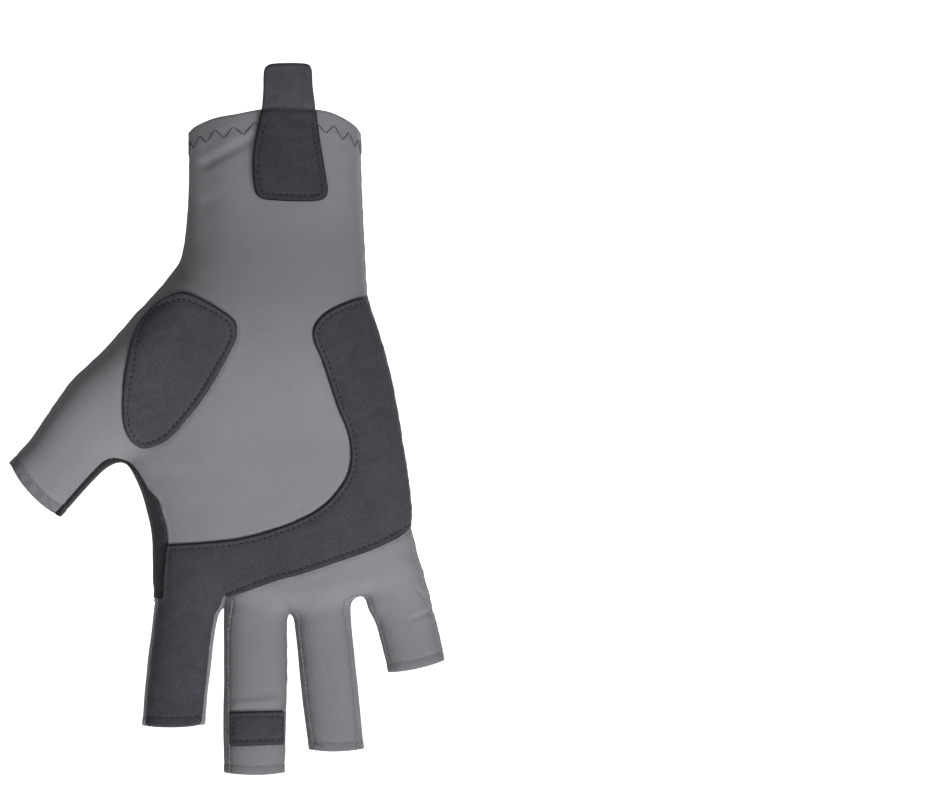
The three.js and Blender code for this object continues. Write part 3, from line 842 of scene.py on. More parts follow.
def shell(part, top, bottom, roll, extra=None):
    """A closed piece of cloth: outer face, inner face and the edge between them.
    roll says for each rim point how far the edge bulges outwards."""
    V, T = part.V, part.T
    N = unit(gradient(V))
    up, down = V + N * top[:, None], V + N * bottom[:, None]
    E = rim_edges(T)
    n = len(V)
    tang = np.zeros_like(V)
    for k in (0, 1):
        np.add.at(tang, E[:, k], V[E[:, 1]] - V[E[:, 0]])
    tang = unit(tang)
    ids = np.unique(E)
    out = np.cross(tang[ids], N[ids])
    slot_of = -np.ones(n, int)
    slot_of[ids] = np.arange(len(ids))
    mid, half = (up[ids] + down[ids]) / 2, (up[ids] - down[ids]) / 2
    hl = np.linalg.norm(half, axis=1, keepdims=True)
    rows = [up]
    base = [None]
    allV = [up, down]
    start = 2 * n
    ring_ids = [lambda e: e]
    for a in (45, 90, 135):
        c, q = math.cos(math.radians(a)), math.sin(math.radians(a))
        allV.append(mid + half * c + out * hl * q * roll[ids][:, None])
        ring_ids.append(lambda e, s=start: s + slot_of[e])
        start += len(ids)
    ring_ids.append(lambda e: n + e)
    F = [T, T[:, ::-1] + n]
    for r0, r1 in zip(ring_ids[:-1], ring_ids[1:]):
        a, b = E[:, 0], E[:, 1]
        p, q, r, s = r0(a), r0(b), r1(b), r1(a)
        F.append(np.stack([q, p, s], 1))
        F.append(np.stack([q, s, r], 1))
    V2 = np.concatenate(allV)
    ex = {}
    for key, val in (extra or {}).items():
        ex[key] = np.concatenate([val, val] + [val[ids]] * 3)
    return V2, np.concatenate(F), ex


def cloth_uv(V):
    """Flat cloth coordinates in millimetres: across the limb and along it."""
    x, y, z = V.T
    u, v = x.copy(), z.copy()
    dy = np.abs(y - seam_y(x, z))
    s, t = hand.local(x, z)
    L, R, P, B = hand.at(s)
    u = u + np.sign(t - (L + R) / 2) * np.maximum(0, (P + B) / 2 - dy) * 0.8 * ramp((z + 166) / 12)
    for limb in (index, middle, ring, little):
        s, t = limb.local(x, z)
        L, R, P, B = limb.at(s)
        m = (t > L - 2) & (t < R + 2) & (s > 4)
        add = np.sign(t - (L + R) / 2) * np.maximum(0, (P + B) / 2 - dy) * 0.8 * ramp((s - 6) / 12)
        u = np.where(m, u + add, u)
    return np.stack([u, v], 1)


# ---------------------------------------------------------------- materials
class Nodes:
    def __init__(self, name):
        self.mat = bpy.data.materials.new(name)
        self.mat.use_nodes = True
        self.t = self.mat.node_tree
        self.t.nodes.clear()
        self.out = self.t.nodes.new("ShaderNodeOutputMaterial")
        self.bsdf = self.t.nodes.new("ShaderNodeBsdfPrincipled")
        self.link(self.bsdf.outputs[0], self.out.inputs[0])

    def link(self, a, b):
        self.t.links.new(a, b)

    def feed(self, socket, v):
        if hasattr(v, "links"):
            self.link(v, socket)
        else:
            socket.default_value = v

    def math(self, op, a, b=0.0, clamp=False):
        n = self.t.nodes.new("ShaderNodeMath")
        n.operation = op
        n.use_clamp = clamp
        self.feed(n.inputs[0], a)
        self.feed(n.inputs[1], b)
        return n.outputs[0]

    def spot(self):
        return self.t.nodes.new("ShaderNodeTexCoord").outputs["Object"]

    def noise(self, scale, detail=2.0, rough=0.5, where=None, distortion=0.0):
        n = self.t.nodes.new("ShaderNodeTexNoise")
        n.inputs["Scale"].default_value = scale
        n.inputs["Detail"].default_value = detail
        n.inputs["Roughness"].default_value = rough
        n.inputs["Distortion"].default_value = distortion
        self.link(where or self.spot(), n.inputs["Vector"])
        return n.outputs["Fac"]

    def cells(self, scale, feature="F1"):
        n = self.t.nodes.new("ShaderNodeTexVoronoi")
        n.feature = feature
        n.inputs["Scale"].default_value = scale
        self.link(self.spot(), n.inputs["Vector"])
        return n.outputs["Distance"]

    def map(self, v, a, b, c, d):
        n = self.t.nodes.new("ShaderNodeMapRange")
        n.interpolation_type = "SMOOTHSTEP"
        self.feed(n.inputs["Value"], v)
        for i, x in zip(("From Min", "From Max", "To Min", "To Max"), (a, b, c, d)):
            n.inputs[i].default_value = x
        return n.outputs[0]

    def value(self, name):
        n = self.t.nodes.new("ShaderNodeAttribute")
        n.attribute_name = name
        return n.outputs["Fac"]

    def cloth(self):
        n = self.t.nodes.new("ShaderNodeUVMap")
        n.uv_map = "cloth"
        s = self.t.nodes.new("ShaderNodeSeparateXYZ")
        self.link(n.outputs[0], s.inputs[0])
        return s.outputs[0], s.outputs[1]

    def shade(self, color, factor):
        """A colour times a number that varies over the face."""
        n = self.t.nodes.new("ShaderNodeVectorMath")
        n.operation = "SCALE"
        if hasattr(color, "links"):
            self.link(color, n.inputs[0])
        else:
            n.inputs[0].default_value = color[:3]
        self.link(factor, n.inputs["Scale"])
        return n.outputs[0]

    def mix(self, f, a, b):
        n = self.t.nodes.new("ShaderNodeMix")
        n.data_type = "RGBA"
        self.feed(n.inputs["Factor"], f)
        for s, v in ((n.inputs[6], a), (n.inputs[7], b)):
            if hasattr(v, "links"):
                self.link(v, s)
            else:
                s.default_value = (*v[:3], 1.0)
        return n.outputs[2]

    def bump(self, height, distance, strength=1.0, before=None):
        n = self.t.nodes.new("ShaderNodeBump")
        n.inputs["Distance"].default_value = distance
        n.inputs["Strength"].default_value = strength
        self.link(height, n.inputs["Height"])
        if before is not None:
            self.link(before, n.inputs["Normal"])
        return n.outputs[0]

    def done(self, color, roughness, normal=None, sheen=0.0, sheen_rough=0.5, specular=0.3, tint=(1, 1, 1)):
        b = self.bsdf
        self.feed(b.inputs["Base Color"], color)
        self.feed(b.inputs["Roughness"], roughness)
        b.inputs["Sheen Weight"].default_value = sheen
        b.inputs["Sheen Roughness"].default_value = sheen_rough
        b.inputs["Sheen Tint"].default_value = (*tint, 1.0)
        b.inputs["Specular IOR Level"].default_value = specular
        if normal is not None:
            self.link(normal, b.inputs["Normal"])
        return self.mat


def knit_material(name, base, seam=True):
    """Smooth stretch jersey: fine wales and courses, faint melange, soft uneven dye."""
    m = Nodes(name)
    u, v = m.cloth()
    wale = m.math("ABSOLUTE", m.math("SINE", m.math("MULTIPLY", u, math.pi / 0.62)))
    lean = m.math("MULTIPLY", m.math("COSINE", m.math("MULTIPLY", u, 2 * math.pi / 0.62)), 1.2)
    course = m.math("SINE", m.math("ADD", m.math("MULTIPLY", v, 2 * math.pi / 0.5), lean))
    weave = m.math("ADD", m.math("MULTIPLY", wale, 0.65), m.math("MULTIPLY", course, 0.22))
    fuzz = m.noise(2600, 2.0, 0.6)
    soft = m.noise(90, 3.0, 0.55)
    broad = m.noise(17, 2.0, 0.5)
    melange = m.noise(1300, 2.0, 0.7)
    f = m.math("ADD", m.map(broad, 0.3, 0.7, 0.965, 1.03), m.map(soft, 0.3, 0.7, -0.018, 0.018))
    f = m.math("ADD", f, m.map(melange, 0.3, 0.7, -0.04, 0.04))
    f = m.math("ADD", f, m.math("MULTIPLY", m.math("SUBTRACT", wale, 0.6), 0.03))
    # Beside a seam: a painted highlight on the ridge, painted shade in the groove past it and in the seam's fold.
    if seam:
        d = m.value("seam")
        ridge = m.math("SUBTRACT", m.map(d, 0.3, 0.75, 0.0, 1.0), m.map(d, 1.05, 1.5, 0.0, 1.0))
        groove = m.math("SUBTRACT", m.map(d, 1.3, 1.7, 0.0, 1.0), m.map(d, 1.8, 2.3, 0.0, 1.0))
        f = m.math("ADD", f, m.math("MULTIPLY", ridge, 0.10))
        f = m.math("SUBTRACT", f, m.math("MULTIPLY", groove, 0.17))
        f = m.math("MULTIPLY", f, m.map(d, 0.0, 0.4, 0.42, 1.0))
    # tone carries per-piece colour changes, among them painted shade and painted light
    f = m.math("MULTIPLY", f, m.value("tone"))
    color = m.shade(base, f)
    normal = m.bump(weave, 0.00010, 0.5)
    normal = m.bump(fuzz, 0.00012, 0.3, normal)
    normal = m.bump(soft, 0.0006, 0.10, normal)
    return m.done(color, m.map(fuzz, 0.3, 0.7, 0.74, 0.88), normal, sheen=0.10, sheen_rough=0.45, specular=0.2)


def suede_material(name, base, edge=True):
    """Synthetic suede: short nap brushed in patches, with a painted shadow line along the cut edges."""
    m = Nodes(name)
    nap = m.noise(2300, 3.0, 0.65)
    tuft = m.noise(700, 2.0, 0.6, distortion=0.6)
    brushed = m.noise(95, 3.0, 0.6, distortion=1.2)
    broad = m.noise(22, 2.0, 0.5)
    f = m.math("ADD", m.map(brushed, 0.3, 0.7, 0.93, 1.09), m.map(broad, 0.3, 0.7, -0.06, 0.05))
    f = m.math("ADD", f, m.map(nap, 0.3, 0.7, -0.16, 0.16))
    f = m.math("ADD", f, m.map(tuft, 0.3, 0.7, -0.07, 0.07))
    # painted shadow line along the cut edges and beside the seams
    if edge:
        d = m.value("edge")
        f = m.math("MULTIPLY", f, m.map(d, 0.1, 0.6, 0.25, 1.0))
    f = m.math("MULTIPLY", f, m.value("tone"))
    color = m.shade(base, f)
    normal = m.bump(nap, 0.00022, 0.5)
    normal = m.bump(tuft, 0.0004, 0.22, normal)
    normal = m.bump(brushed, 0.0012, 0.08, normal)
    return m.done(color, m.map(nap, 0.3, 0.7, 0.86, 0.98), normal, sheen=0.16, sheen_rough=0.4, specular=0.10)


def thread_material(name, base, glint=0.3):
    """Twisted polyester thread."""
    m = Nodes(name)
    ply = m.noise(3800, 2.0, 0.6, distortion=1.0)
    color = m.shade(base, m.map(ply, 0.3, 0.7, 0.75, 1.2))
    return m.done(color, m.map(ply, 0.3, 0.7, 0.5, 0.7), m.bump(ply, 0.00012, 0.5), sheen=0.1, specular=glint)


def print_material(name, base):
    """Stretch heat-transfer film over the knit: matt, with the wales showing through."""
    m = Nodes(name)
    u, v = m.cloth()
    wale = m.math("ABSOLUTE", m.math("SINE", m.math("MULTIPLY", u, math.pi / 0.86)))
    skin = m.noise(800, 2.0, 0.6)
    crack = m.noise(140, 4.0, 0.7, distortion=0.8)
    f = m.math("ADD", m.map(skin, 0.3, 0.7, 0.95, 1.04), m.math("MULTIPLY", wale, 0.03))
    f = m.math("MULTIPLY", f, m.map(crack, 0.24, 0.4, 0.9, 1.0))
    normal = m.bump(wale, 0.00006, 0.5)
    return m.done(m.shade(base, f), m.map(skin, 0.3, 0.7, 0.42, 0.56), m.bump(skin, 0.00008, 0.4, normal),
                  sheen=0.03, specular=0.4)


def plain_material(name, base, glow=0.0):
    m = Nodes(name)
    n = m.noise(3.0, 2.0, 0.5)
    color = m.shade(base, m.map(n, 0.3, 0.7, 0.995, 1.0))
    m.bsdf.inputs["Emission Color"].default_value = (1, 1, 1, 1)
    m.bsdf.inputs["Emission Strength"].default_value = glow
    return m.done(color, 0.9, None, specular=0.1)


GREY = (0.168, 0.166, 0.178)
DARK = (0.0370, 0.0362, 0.0435)
M_KNIT = knit_material("knit_grey", GREY)
M_LINING = knit_material("knit_lining", (0.088, 0.087, 0.091), seam=False)
M_SUEDE = suede_material("suede_charcoal", DARK)
M_GUSSET = suede_material("suede_gusset", (0.0275, 0.0272, 0.0310))
M_THREAD_DARK = thread_material("thread_charcoal", (0.0085, 0.0082, 0.0105), glint=0.2)
M_THREAD_GREY = thread_material("thread_grey", (0.165, 0.163, 0.172), glint=0.2)
M_THREAD_ZIG = thread_material("thread_zigzag", (0.050, 0.047, 0.064))
M_PRINT = print_material("print_yellow", (0.82, 0.90, 0.035))


# ---------------------------------------------------------------- stitches
def contour(V, T, s):
    """Lines on a net where s is zero: the edges that they cross, the place on each edge, and the runs."""
    up = s[T] > 0
    m = up.any(axis=1) & ~up.all(axis=1)
    T, up = T[m], up[m]
    n = len(V)
    odd = np.where(up.sum(axis=1) == 1, up.argmax(axis=1), (~up).argmax(axis=1))
    r = np.arange(len(T))
    o, a, b = T[r, odd], T[r, (odd + 1) % 3], T[r, (odd + 2) % 3]
    key = np.concatenate([np.minimum(o, q).astype(np.int64) * n + np.maximum(o, q) for q in (a, b)])
    uniq, inv = np.unique(key, return_inverse=True)
    inv = inv.reshape(-1)
    A, B = uniq // n, uniq % n
    t = s[A] / (s[A] - s[B])
    link = [[] for _ in uniq]
    for p, q in zip(inv[:len(T)], inv[len(T):]):
        link[p].append(q)
        link[q].append(p)
    seen = np.zeros(len(uniq), bool)
    runs = []
    order = [i for i in range(len(uniq)) if len(link[i]) == 1] + list(range(len(uniq)))
    for first in order:
        if seen[first]:
            continue
        run, cur = [first], first
        seen[first] = True
        while True:
            nxt = [q for q in link[cur] if not seen[q]]
            if not nxt:
                break
            cur = nxt[0]
            seen[cur] = True
            run.append(cur)
        if len(run) > 3 and run[0] in link[run[-1]]:
            run.append(run[0])
        runs.append(np.array(run))
    return A, B, t, runs


def arc_length(P):
    return np.concatenate([[0], np.cumsum(np.linalg.norm(np.diff(P, axis=0), axis=1))])


def eased(P, rounds=4):
    P = P.copy()
    for _ in range(rounds):
        P[1:-1] = 0.25 * P[:-2] + 0.5 * P[1:-1] + 0.25 * P[2:]
    return P


class Threads:
    """Stitches gathered into one mesh."""

    def __init__(self, radius, seed):
        self.r = radius
        self.rng = np.random.default_rng(seed)
        self.V, self.F, self.n = [], [], 0

    def stitch(self, P, N, lift, depth=0.34, flat=1.6):
        """One stitch along the points P, dipping into the cloth at both ends."""
        k = len(P)
        arc = np.sin(math.pi * np.linspace(0, 1, k))
        C = P + N * (lift - depth + (depth + 0.1) * np.minimum(1, arc * flat))[:, None]
        tang = unit(np.gradient(C, axis=0))
        side = unit(np.cross(N, tang))
        up = np.cross(tang, side)
        r = self.r * (0.55 + 0.45 * np.minimum(1, arc * 1.6))
        a = np.arange(6) / 6 * 2 * math.pi
        rings = (C[:, None] + side[:, None] * (np.cos(a) * r[:, None])[:, :, None]
                 + up[:, None] * (np.sin(a) * r[:, None])[:, :, None])
        self.V.append(rings.reshape(-1, 3))
        i, j = np.meshgrid(np.arange(k - 1), np.arange(6), indexing="ij")
        i, j = i.ravel(), j.ravel()
        q = np.stack([i * 6 + j, i * 6 + (j + 1) % 6, (i + 1) * 6 + (j + 1) % 6, (i + 1) * 6 + j], 1)
        F = np.concatenate([q[:, [0, 1, 2]], q[:, [0, 2, 3]]])
        e = (k - 1) * 6
        caps = [[0, 5, 4], [0, 4, 3], [0, 3, 2], [0, 2, 1],
                [e, e + 1, e + 2], [e, e + 2, e + 3], [e, e + 3, e + 4], [e, e + 4, e + 5]]
        self.F.append(np.concatenate([F, caps]) + self.n)
        self.n += k * 6

    def row(self, P, lift, pitch, length, wander=0.05, depth=0.34):
        """A row of stitches along the path P; lift is the cloth's height over the form."""
        s = arc_length(P)
        if s[-1] < pitch * 1.5:
            return
        count = int((s[-1] - 0.3) / pitch)
        pitch = (s[-1] - 0.3) / count
        N = unit(gradient(P))
        for i in range(count):
            a = 0.3 + i * pitch + self.rng.normal(0, 0.04)
            b = a + length * self.rng.uniform(0.92, 1.08)
            q = np.clip(np.linspace(a, b, 5), 0, s[-1])
            if q[-1] - q[0] < 0.4 * length:
                continue
            Q = np.stack([np.interp(q, s, P[:, c]) for c in range(3)], 1)
            M = unit(np.stack([np.interp(q, s, N[:, c]) for c in range(3)], 1))
            Q = Q + np.cross(M, unit(np.gradient(Q, axis=0))) * self.rng.normal(0, wander)
            self.stitch(Q, M, np.interp(q, s, lift), depth)

    def along(self, V, T, s, lift, keep, pitch, length, **more):
        """Rows where s is zero on a net, kept where keep is positive."""
        A, B, t, runs = contour(V, T, s)
        read = lambda f, run: (f[A[run]].T * (1 - t[run]) + f[B[run]].T * t[run]).T
        for run in runs:
            if len(run) < 6:
                continue
            P, L, K = eased(read(V, run)), read(lift, run), read(keep, run) > 0
            cuts = np.flatnonzero(np.diff(K.astype(int)) != 0) + 1
            for piece in np.split(np.arange(len(run)), cuts):
                if K[piece[0]] and len(piece) > 4:
                    self.row(P[piece], L[piece], pitch, length, **more)

    def make(self, name, material):
        return mesh_object(name, np.concatenate(self.V), np.concatenate(self.F), material)


dark_stitches = Threads(0.25, 51)
seam_stitches = Threads(0.17, 52)
hem_stitches = Threads(0.12, 53)


# ---------------------------------------------------------------- cloth pieces
NODE_OF = {
    "palm": "palm_panel", "back": "back_panel", "gusset": "thumb_gusset",
    "strip_index_middle": "fourchette_index_middle", "strip_middle_ring": "fourchette_middle_ring",
    "strip_ring_little": "fourchette_ring_little",
}


def short_of_seam(value, gap):
    """The palm patch stops a little before the little finger's side seam."""
    def out(P):
        d = P[:, 1] - seam_y(P[:, 0], P[:, 2])
        return np.where(P[:, 0] > 20, np.minimum(value(P), -d - gap), value(P))
    return out


PATCHES = {"thenar_patch": outline_value(THENAR), "palm_patch": short_of_seam(outline_value(PALM_PATCH), 1.9),
           "middle_finger_patch": middle_patch_value}


def beside_patches(P):
    """Distance outside the nearest patch outline, on the palm side."""
    d = np.full(len(P), -9.0)
    for value in PATCHES.values():
        d = np.maximum(d, value(P))
    return -d


def hem_line(P):
    return np.where(P[:, 0] < -60, 3.3, 2.7)


def at_ends(P):
    """1 at the fingers and the thumb, 0 at the cuff."""
    return (P[:, 2] < -60).astype(float)


def hem_height(P, d):
    """Turned hem of the open finger ends, and the stitched groove along it."""
    line = hem_line(P)
    return at_ends(P) * (0.08 * ramp((line - d) / 0.7) - 0.16 * bell(d - line, 0.45)
                         + 0.07 * waves(P, 3.2, 41) * bell(d - line * 0.6, 1.6))


def hem_tone(P, d):
    line = hem_line(P)
    band = at_ends(P) * ramp((line - d + 0.4) / 0.8)
    on_thumb = (P[:, 0] < -60).astype(float)
    return (1 - band * (0.09 + on_thumb * (0.15 + 0.13 * waves(P, 2.6, 43)))
            + 0.07 * on_thumb * bell(d - line - 0.9, 0.5))


def painted_shading(P):
    """Painted shade on the palm's cloth: darker at the wrist and down the fingers."""
    x, z = P[:, 0], P[:, 2]
    # painted light band just inside the cuff's thumb-side edge, painted shade on the edge itself
    edge = (0.2 * bell(x + 25.7, 2.6) - 0.1 * bell(x + 29.3, 0.9)) * ramp((z + 46) / 12)    # cuff, thumb's side
    return (1 + edge) * (1 - 0.20 * bell(z + 47, 22.0)) * (1 - 0.20 * ramp((-z - 150) / 34))


def hem_distance(P):
    return distance_to(P, HEM_A, HEM_B)


def beside_gusset(P):
    """1 on the palm's cloth round the thumb crotch, where the seam lies flat."""
    return ((P[:, 0] < -33) & (P[:, 2] < -98) & (P[:, 2] > -166)).astype(float)


def gusset_foot(P):
    return P[:, 2] < -162.6


for key, part in PARTS.items():
    soft_strip = key.startswith("strip") or key == "gusset"
    free = gusset_foot if key == "gusset" else None
    d = seam_rows(part, (0.35, 0.9) if soft_strip else (0.3, 0.9, 1.35, 1.75, 2.2), free)
    for shift in (-0.45, 0.0, 0.45):
        rows_at(part, lambda P: (hem_distance(P) - hem_line(P)) * at_ends(P) + 9 * (1 - at_ends(P)), (shift,))
    V = part.V
    E, hem = edges_split(part)
    if free is not None:
        hem_or_free = hem | free((V[E[:, 0]] + V[E[:, 1]]) / 2)
    else:
        hem_or_free = hem
    A, B = V[E[~hem_or_free, 0]], V[E[~hem_or_free, 1]]
    d = distance_to(V, A, B)
    roll = np.full(len(V), -0.12)
    roll[np.unique(E[hem_or_free])] = 0.9
    roll[np.unique(E[~hem_or_free])] = -0.12
    de = hem_distance(V)
    plain = beside_gusset(V) if key == "palm" else np.zeros(len(V))
    top = relief(V) + (dip_strip(d) if soft_strip else dip(d) * (1 - 0.6 * plain)) + hem_height(V, de)
    top += 0.09 * waves(V, 3.8, 9) * bell(d - 1.3, 1.6)
    tone = hem_tone(V, de)
    low = V[:, 1] - seam_y(V[:, 0], V[:, 2])
    if key == "palm" or key.startswith("strip"):
        # painted shade: darker at the wrist and down the fingers
        tone *= painted_shading(V)
    if key == "strip_index_middle":
        # painted light on the palm side of this strip, along the index finger
        tone *= 1 + 0.25 * (low < 0) * (V[:, 0] < -17.5)
    if key == "back":
        # painted light where the back panel's cloth comes round the index finger's outer side
        tone *= 1 + 0.5 * ramp((-1.0 - low) / 2.0) * (V[:, 0] < -35) * (V[:, 2] < -160)
    if key == "gusset":
        # painted shade on the gusset's palm side under the thumb; elsewhere 12% lighter
        tone *= 1.12 - 0.6 * ramp((-47 - V[:, 0]) / 6) * ramp(-low / 2.5)
    if key == "palm":
        b = beside_patches(V)
        top += -0.24 * bell(b - 0.1, 0.7) * (b > -2) + 0.04 * bell(b - 1.7, 1.0)
        # painted shade on the knit under the patches
        tone *= 1 - 0.68 * (b < -0.3)
        top += 0.10 * waves(V, 5.0, 11) * bell(b, 2.6)
    if key == "gusset":
        foot = V[:, 2] + 163.4
        top += 0.35 * bell(foot, 2.0)
    thick = np.full(len(V), 1.1 if key == "gusset" else KNIT)
    V2, F, ex = shell(part, top, top - thick, roll,
                      {"seam": d + 9 * plain * (d > 0.4), "edge": d + 0.2, "tone": tone})
    mat = M_GUSSET if key == "gusset" else M_KNIT
    ob = mesh_object(NODE_OF[key] + "_cloth", V2, F, mat, ex, uv=cloth_uv(V2))
    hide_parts(NODE_OF[key])
    part.top = top
    if key in ("palm", "back"):
        open_knit = beside_patches(V) - 0.6 if key == "palm" else np.full(len(V), 9.0)
        open_knit = np.minimum(open_knit, 0.5 - plain)
        seam_stitches.along(V, part.T, d - 1.5, top, np.minimum(open_knit, de - 0.4), 1.9, 1.0, depth=0.3)
    if key == "gusset":
        dark_stitches.along(V, part.T, d - 1.3, top, de - 0.4, 2.1, 1.2, depth=0.3)
    if key != "gusset":
        s = (de - hem_line(V)) * at_ends(V) + 9 * (1 - at_ends(V))
        covered = beside_patches(V) - 0.3 if key == "palm" else np.full(len(V), 9.0)
        hem_stitches.along(V, part.T, s, top + 0.05, np.minimum(d - 0.9, covered), 1.7, 1.15, depth=0.25)


def raw_profile(d, inset):
    """Top of a patch beside its cut edge: rounded over, pulled down by the stitches."""
    return (SUEDE * (0.5 + 0.5 * ramp(d / 0.7)) - 0.26 * bell(d - inset, 0.5)
            + 0.12 * ramp((d - inset - 0.5) / 2.5))


def upper_side(name, P):
    """1 where a patch's cut edge faces the wrist or the hollow of the hand, 0 on its lower side: it places the
    painted shadow line and painted light band on the upper side and the painted shade band on the lower side.
    """
    x, z = P[:, 0], P[:, 2]
    if name == "thenar_patch":
        return np.maximum(ramp((z + 76) / 8), 0.55 * ramp((-46 - x) / 4))
    if name == "palm_patch":
        return ramp((z + 153.0 - 0.32 * np.minimum(x, 24.0)) / 4.0)
    return ramp((z + 206) / 1.5)


palm = PARTS["palm"]
pe, pe_hem = edges_split(palm)
SEAM_A, SEAM_B = palm.V[pe[~pe_hem, 0]], palm.V[pe[~pe_hem, 1]]


def raw_edges(net):
    E = rim_edges(net.T)
    mid = (net.V[E[:, 0]] + net.V[E[:, 1]]) / 2
    raw = (distance_to(mid, SEAM_A, SEAM_B) > 0.08) & (hem_distance(mid) > 0.08)
    return net.V[E[raw, 0]], net.V[E[raw, 1]], E[raw]


for name, value in PATCHES.items():
    work = Net(palm.V.copy(), palm.T.copy())
    work.lock[np.unique(pe)] = True
    work.cut(value, 0, snap=0.3)
    patch = work.part((work.lab & 1) > 0).keep_main(80)
    for level in (0.35, 0.8, 1.3, 1.75, 2.2):
        A, B, _ = raw_edges(patch)
        rows_at(patch, lambda P: distance_to(P, A, B), (level,))
    A, B, E = raw_edges(patch)
    V = patch.V
    d_raw = distance_to(V, A, B)
    d_seam = distance_to(V, SEAM_A, SEAM_B)
    d_hem = hem_distance(V)
    inset = np.full(len(V), 1.75)
    if name == "thenar_patch":
        inset += 0.8 * ramp((V[:, 2] + 100) / 22) * ramp((-16 - V[:, 0]) / 14)
    base = relief(V) - 0.72 * bell(d_seam, 0.42) - 0.1 * bell(d_seam - 1.75, 0.5) + hem_height(V, d_hem)
    bottom = np.maximum(base, relief(V) + dip(d_seam) + hem_height(V, d_hem)) + LIFT
    thin = 0.35 + 0.65 * ramp(d_seam / 1.0)
    if name == "palm_patch":
        thin *= 1 - 0.6 * (V[:, 0] > 20) * ramp((5.5 + V[:, 1] - seam_y(V[:, 0], V[:, 2])) / 4.0)
    top = bottom + raw_profile(d_raw, inset) * thin + 0.08 * waves(V, 5.0, 21)
    top += 0.07 * waves(V, 2.6, 22) * bell(d_raw - 1.2, 1.2)
    roll = np.full(len(V), 0.25)
    roll[np.unique(E)] = 0.7
    w = upper_side(name, V)
    band = ramp((inset + 0.15 - d_raw) / 0.5)
    # painted light band inside the upper cut edges, painted shade band inside the lower ones
    tone = hem_tone(V, d_hem) * (1.3 if name == "thenar_patch" else 1.03) * (1 + band * (0.07 * w - 0.17 * (1 - w)))
    # edge places the suede's painted shadow line: along the cut edges, strongest on the upper ones, and beside the
    # side seam
    V2, F, ex = shell(patch, top, bottom, roll,
                      {"edge": np.minimum(d_raw + 0.32 * (1 - w), d_seam + 0.2), "seam": d_seam, "tone": tone})
    ob = mesh_object(name + "_suede", V2, F, M_SUEDE, ex, uv=cloth_uv(V2))
    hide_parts(name)
    away = np.full(len(V), 9.0)
    if name == "palm_patch":      # its outer edge is held by the side seam
        away = np.where(V[:, 0] > 26, seam_y(V[:, 0], V[:, 2]) - V[:, 1] - 5.2, 9.0)
    dark_stitches.along(V, patch.T, d_raw - inset, top,
                        np.minimum(np.minimum(d_seam - 1.0, d_hem - 0.5), away), STITCH, 1.25)
    s = (d_hem - hem_line(V)) * at_ends(V) + 9 * (1 - at_ends(V))
    dark_stitches.along(V, patch.T, s, top, np.minimum(d_seam - 0.9, d_raw - 0.5), 1.9, 1.1)


# ---------------------------------------------------------------- pull tab
TAB = spline([
    (-3.5, 20.0), (-2.6, 22.3), (0.0, 23.2), (5.4, 23.4), (10.6, 23.2), (12.4, 22.4), (13.1, 20.2),
    (13.2, 15.0), (13.9, 8.5), (14.7, 2.0), (16.1, -7.0), (17.5, -16.0), (18.2, -20.6), (17.5, -23.4),
    (14.6, -24.6), (8.0, -24.8), (1.0, -24.5), (-3.6, -24.0), (-6.0, -22.3), (-7.0, -18.0),
    (-7.3, -12.0), (-6.7, -5.0), (-5.0, 3.0), (-4.0, 8.5), (-3.6, 14.0)], closed=True, steps=5)


def on_palm_face(x, z):
    """The points of the form that the palm view shows at x and z."""
    y = np.full(len(x), -45.0)
    for _ in range(60):
        y += np.clip(form(x, y, z), -1, 6) * 0.8
    return settle(np.stack([x, y, z], 1), 2)


def tab_net():
    h = 0.8
    xs, zs = np.arange(-9.5, 21.5, h), np.arange(-27, 26, h)
    X, Z = np.meshgrid(xs, zs, indexing="ij")
    P = on_palm_face(X.ravel(), Z.ravel())
    ny = len(zs)
    i, j = np.meshgrid(np.arange(len(xs) - 1), np.arange(ny - 1), indexing="ij")
    a, b, c, d = (q.ravel() for q in (i * ny + j, (i + 1) * ny + j, (i + 1) * ny + j + 1, i * ny + j + 1))
    T = np.concatenate([np.stack([a, b, c], 1), np.stack([a, c, d], 1)])
    n = np.cross(P[T[0, 1]] - P[T[0, 0]], P[T[0, 2]] - P[T[0, 0]])
    if n[1] > 0:
        T = T[:, ::-1]
    out = Net(P, T)
    out.cut(lambda q: poly_distance(q[:, 0], q[:, 2], TAB), 0, snap=0.3)
    return out.part((out.lab & 1) > 0)


def tab_stand(P):
    """The tab lies on the cuff's hem and its stitches, steps over the rim and leans back above it."""
    over = P[:, 2] - rim_height(P[:, 0], P[:, 1])
    return (0.18 + 0.30 * ramp((over + 8.6) / 2) * ramp((0.6 - over) / 1.2) + 0.25 * bell(over + 1.2, 1.6)
            - 0.38 * bell(over - 0.8, 0.8) - 1.0 * ramp((over - 1) / 16) + 0.16 * waves(P, 16.0, 31))


tab = tab_net()
for level in (0.35, 0.8, 1.3, 1.75, 2.2):
    E = rim_edges(tab.T)
    A, B = tab.V[E[:, 0]], tab.V[E[:, 1]]
    rows_at(tab, lambda P: distance_to(P, A, B), (level,))
E = rim_edges(tab.T)
V = tab.V
d = distance_to(V, V[E[:, 0]], V[E[:, 1]])
sewn = ramp((4.5 - V[:, 2]) / 2.5)
bottom = tab_stand(V)
lining_top = bottom + 0.85
V2, F, ex = shell(tab, lining_top, bottom, np.full(len(V), 0.25), {"seam": d, "edge": d})
ob = mesh_object("pull_tab_lining_cloth", V2, F, M_LINING, ex, uv=cloth_uv(V2))
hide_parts("pull_tab_lining")
top = lining_top + 0.05 + 1.0 * (0.5 + 0.5 * ramp(d / 0.8)) - 0.24 * bell(d - 2.0, 0.5) * sewn
top += 0.14 * ramp((d - 2.6) / 3.0) + 0.06 * waves(V, 6.0, 33) + 0.07 * waves(V, 2.6, 34) * bell(d - 1.4, 1.2) * sewn
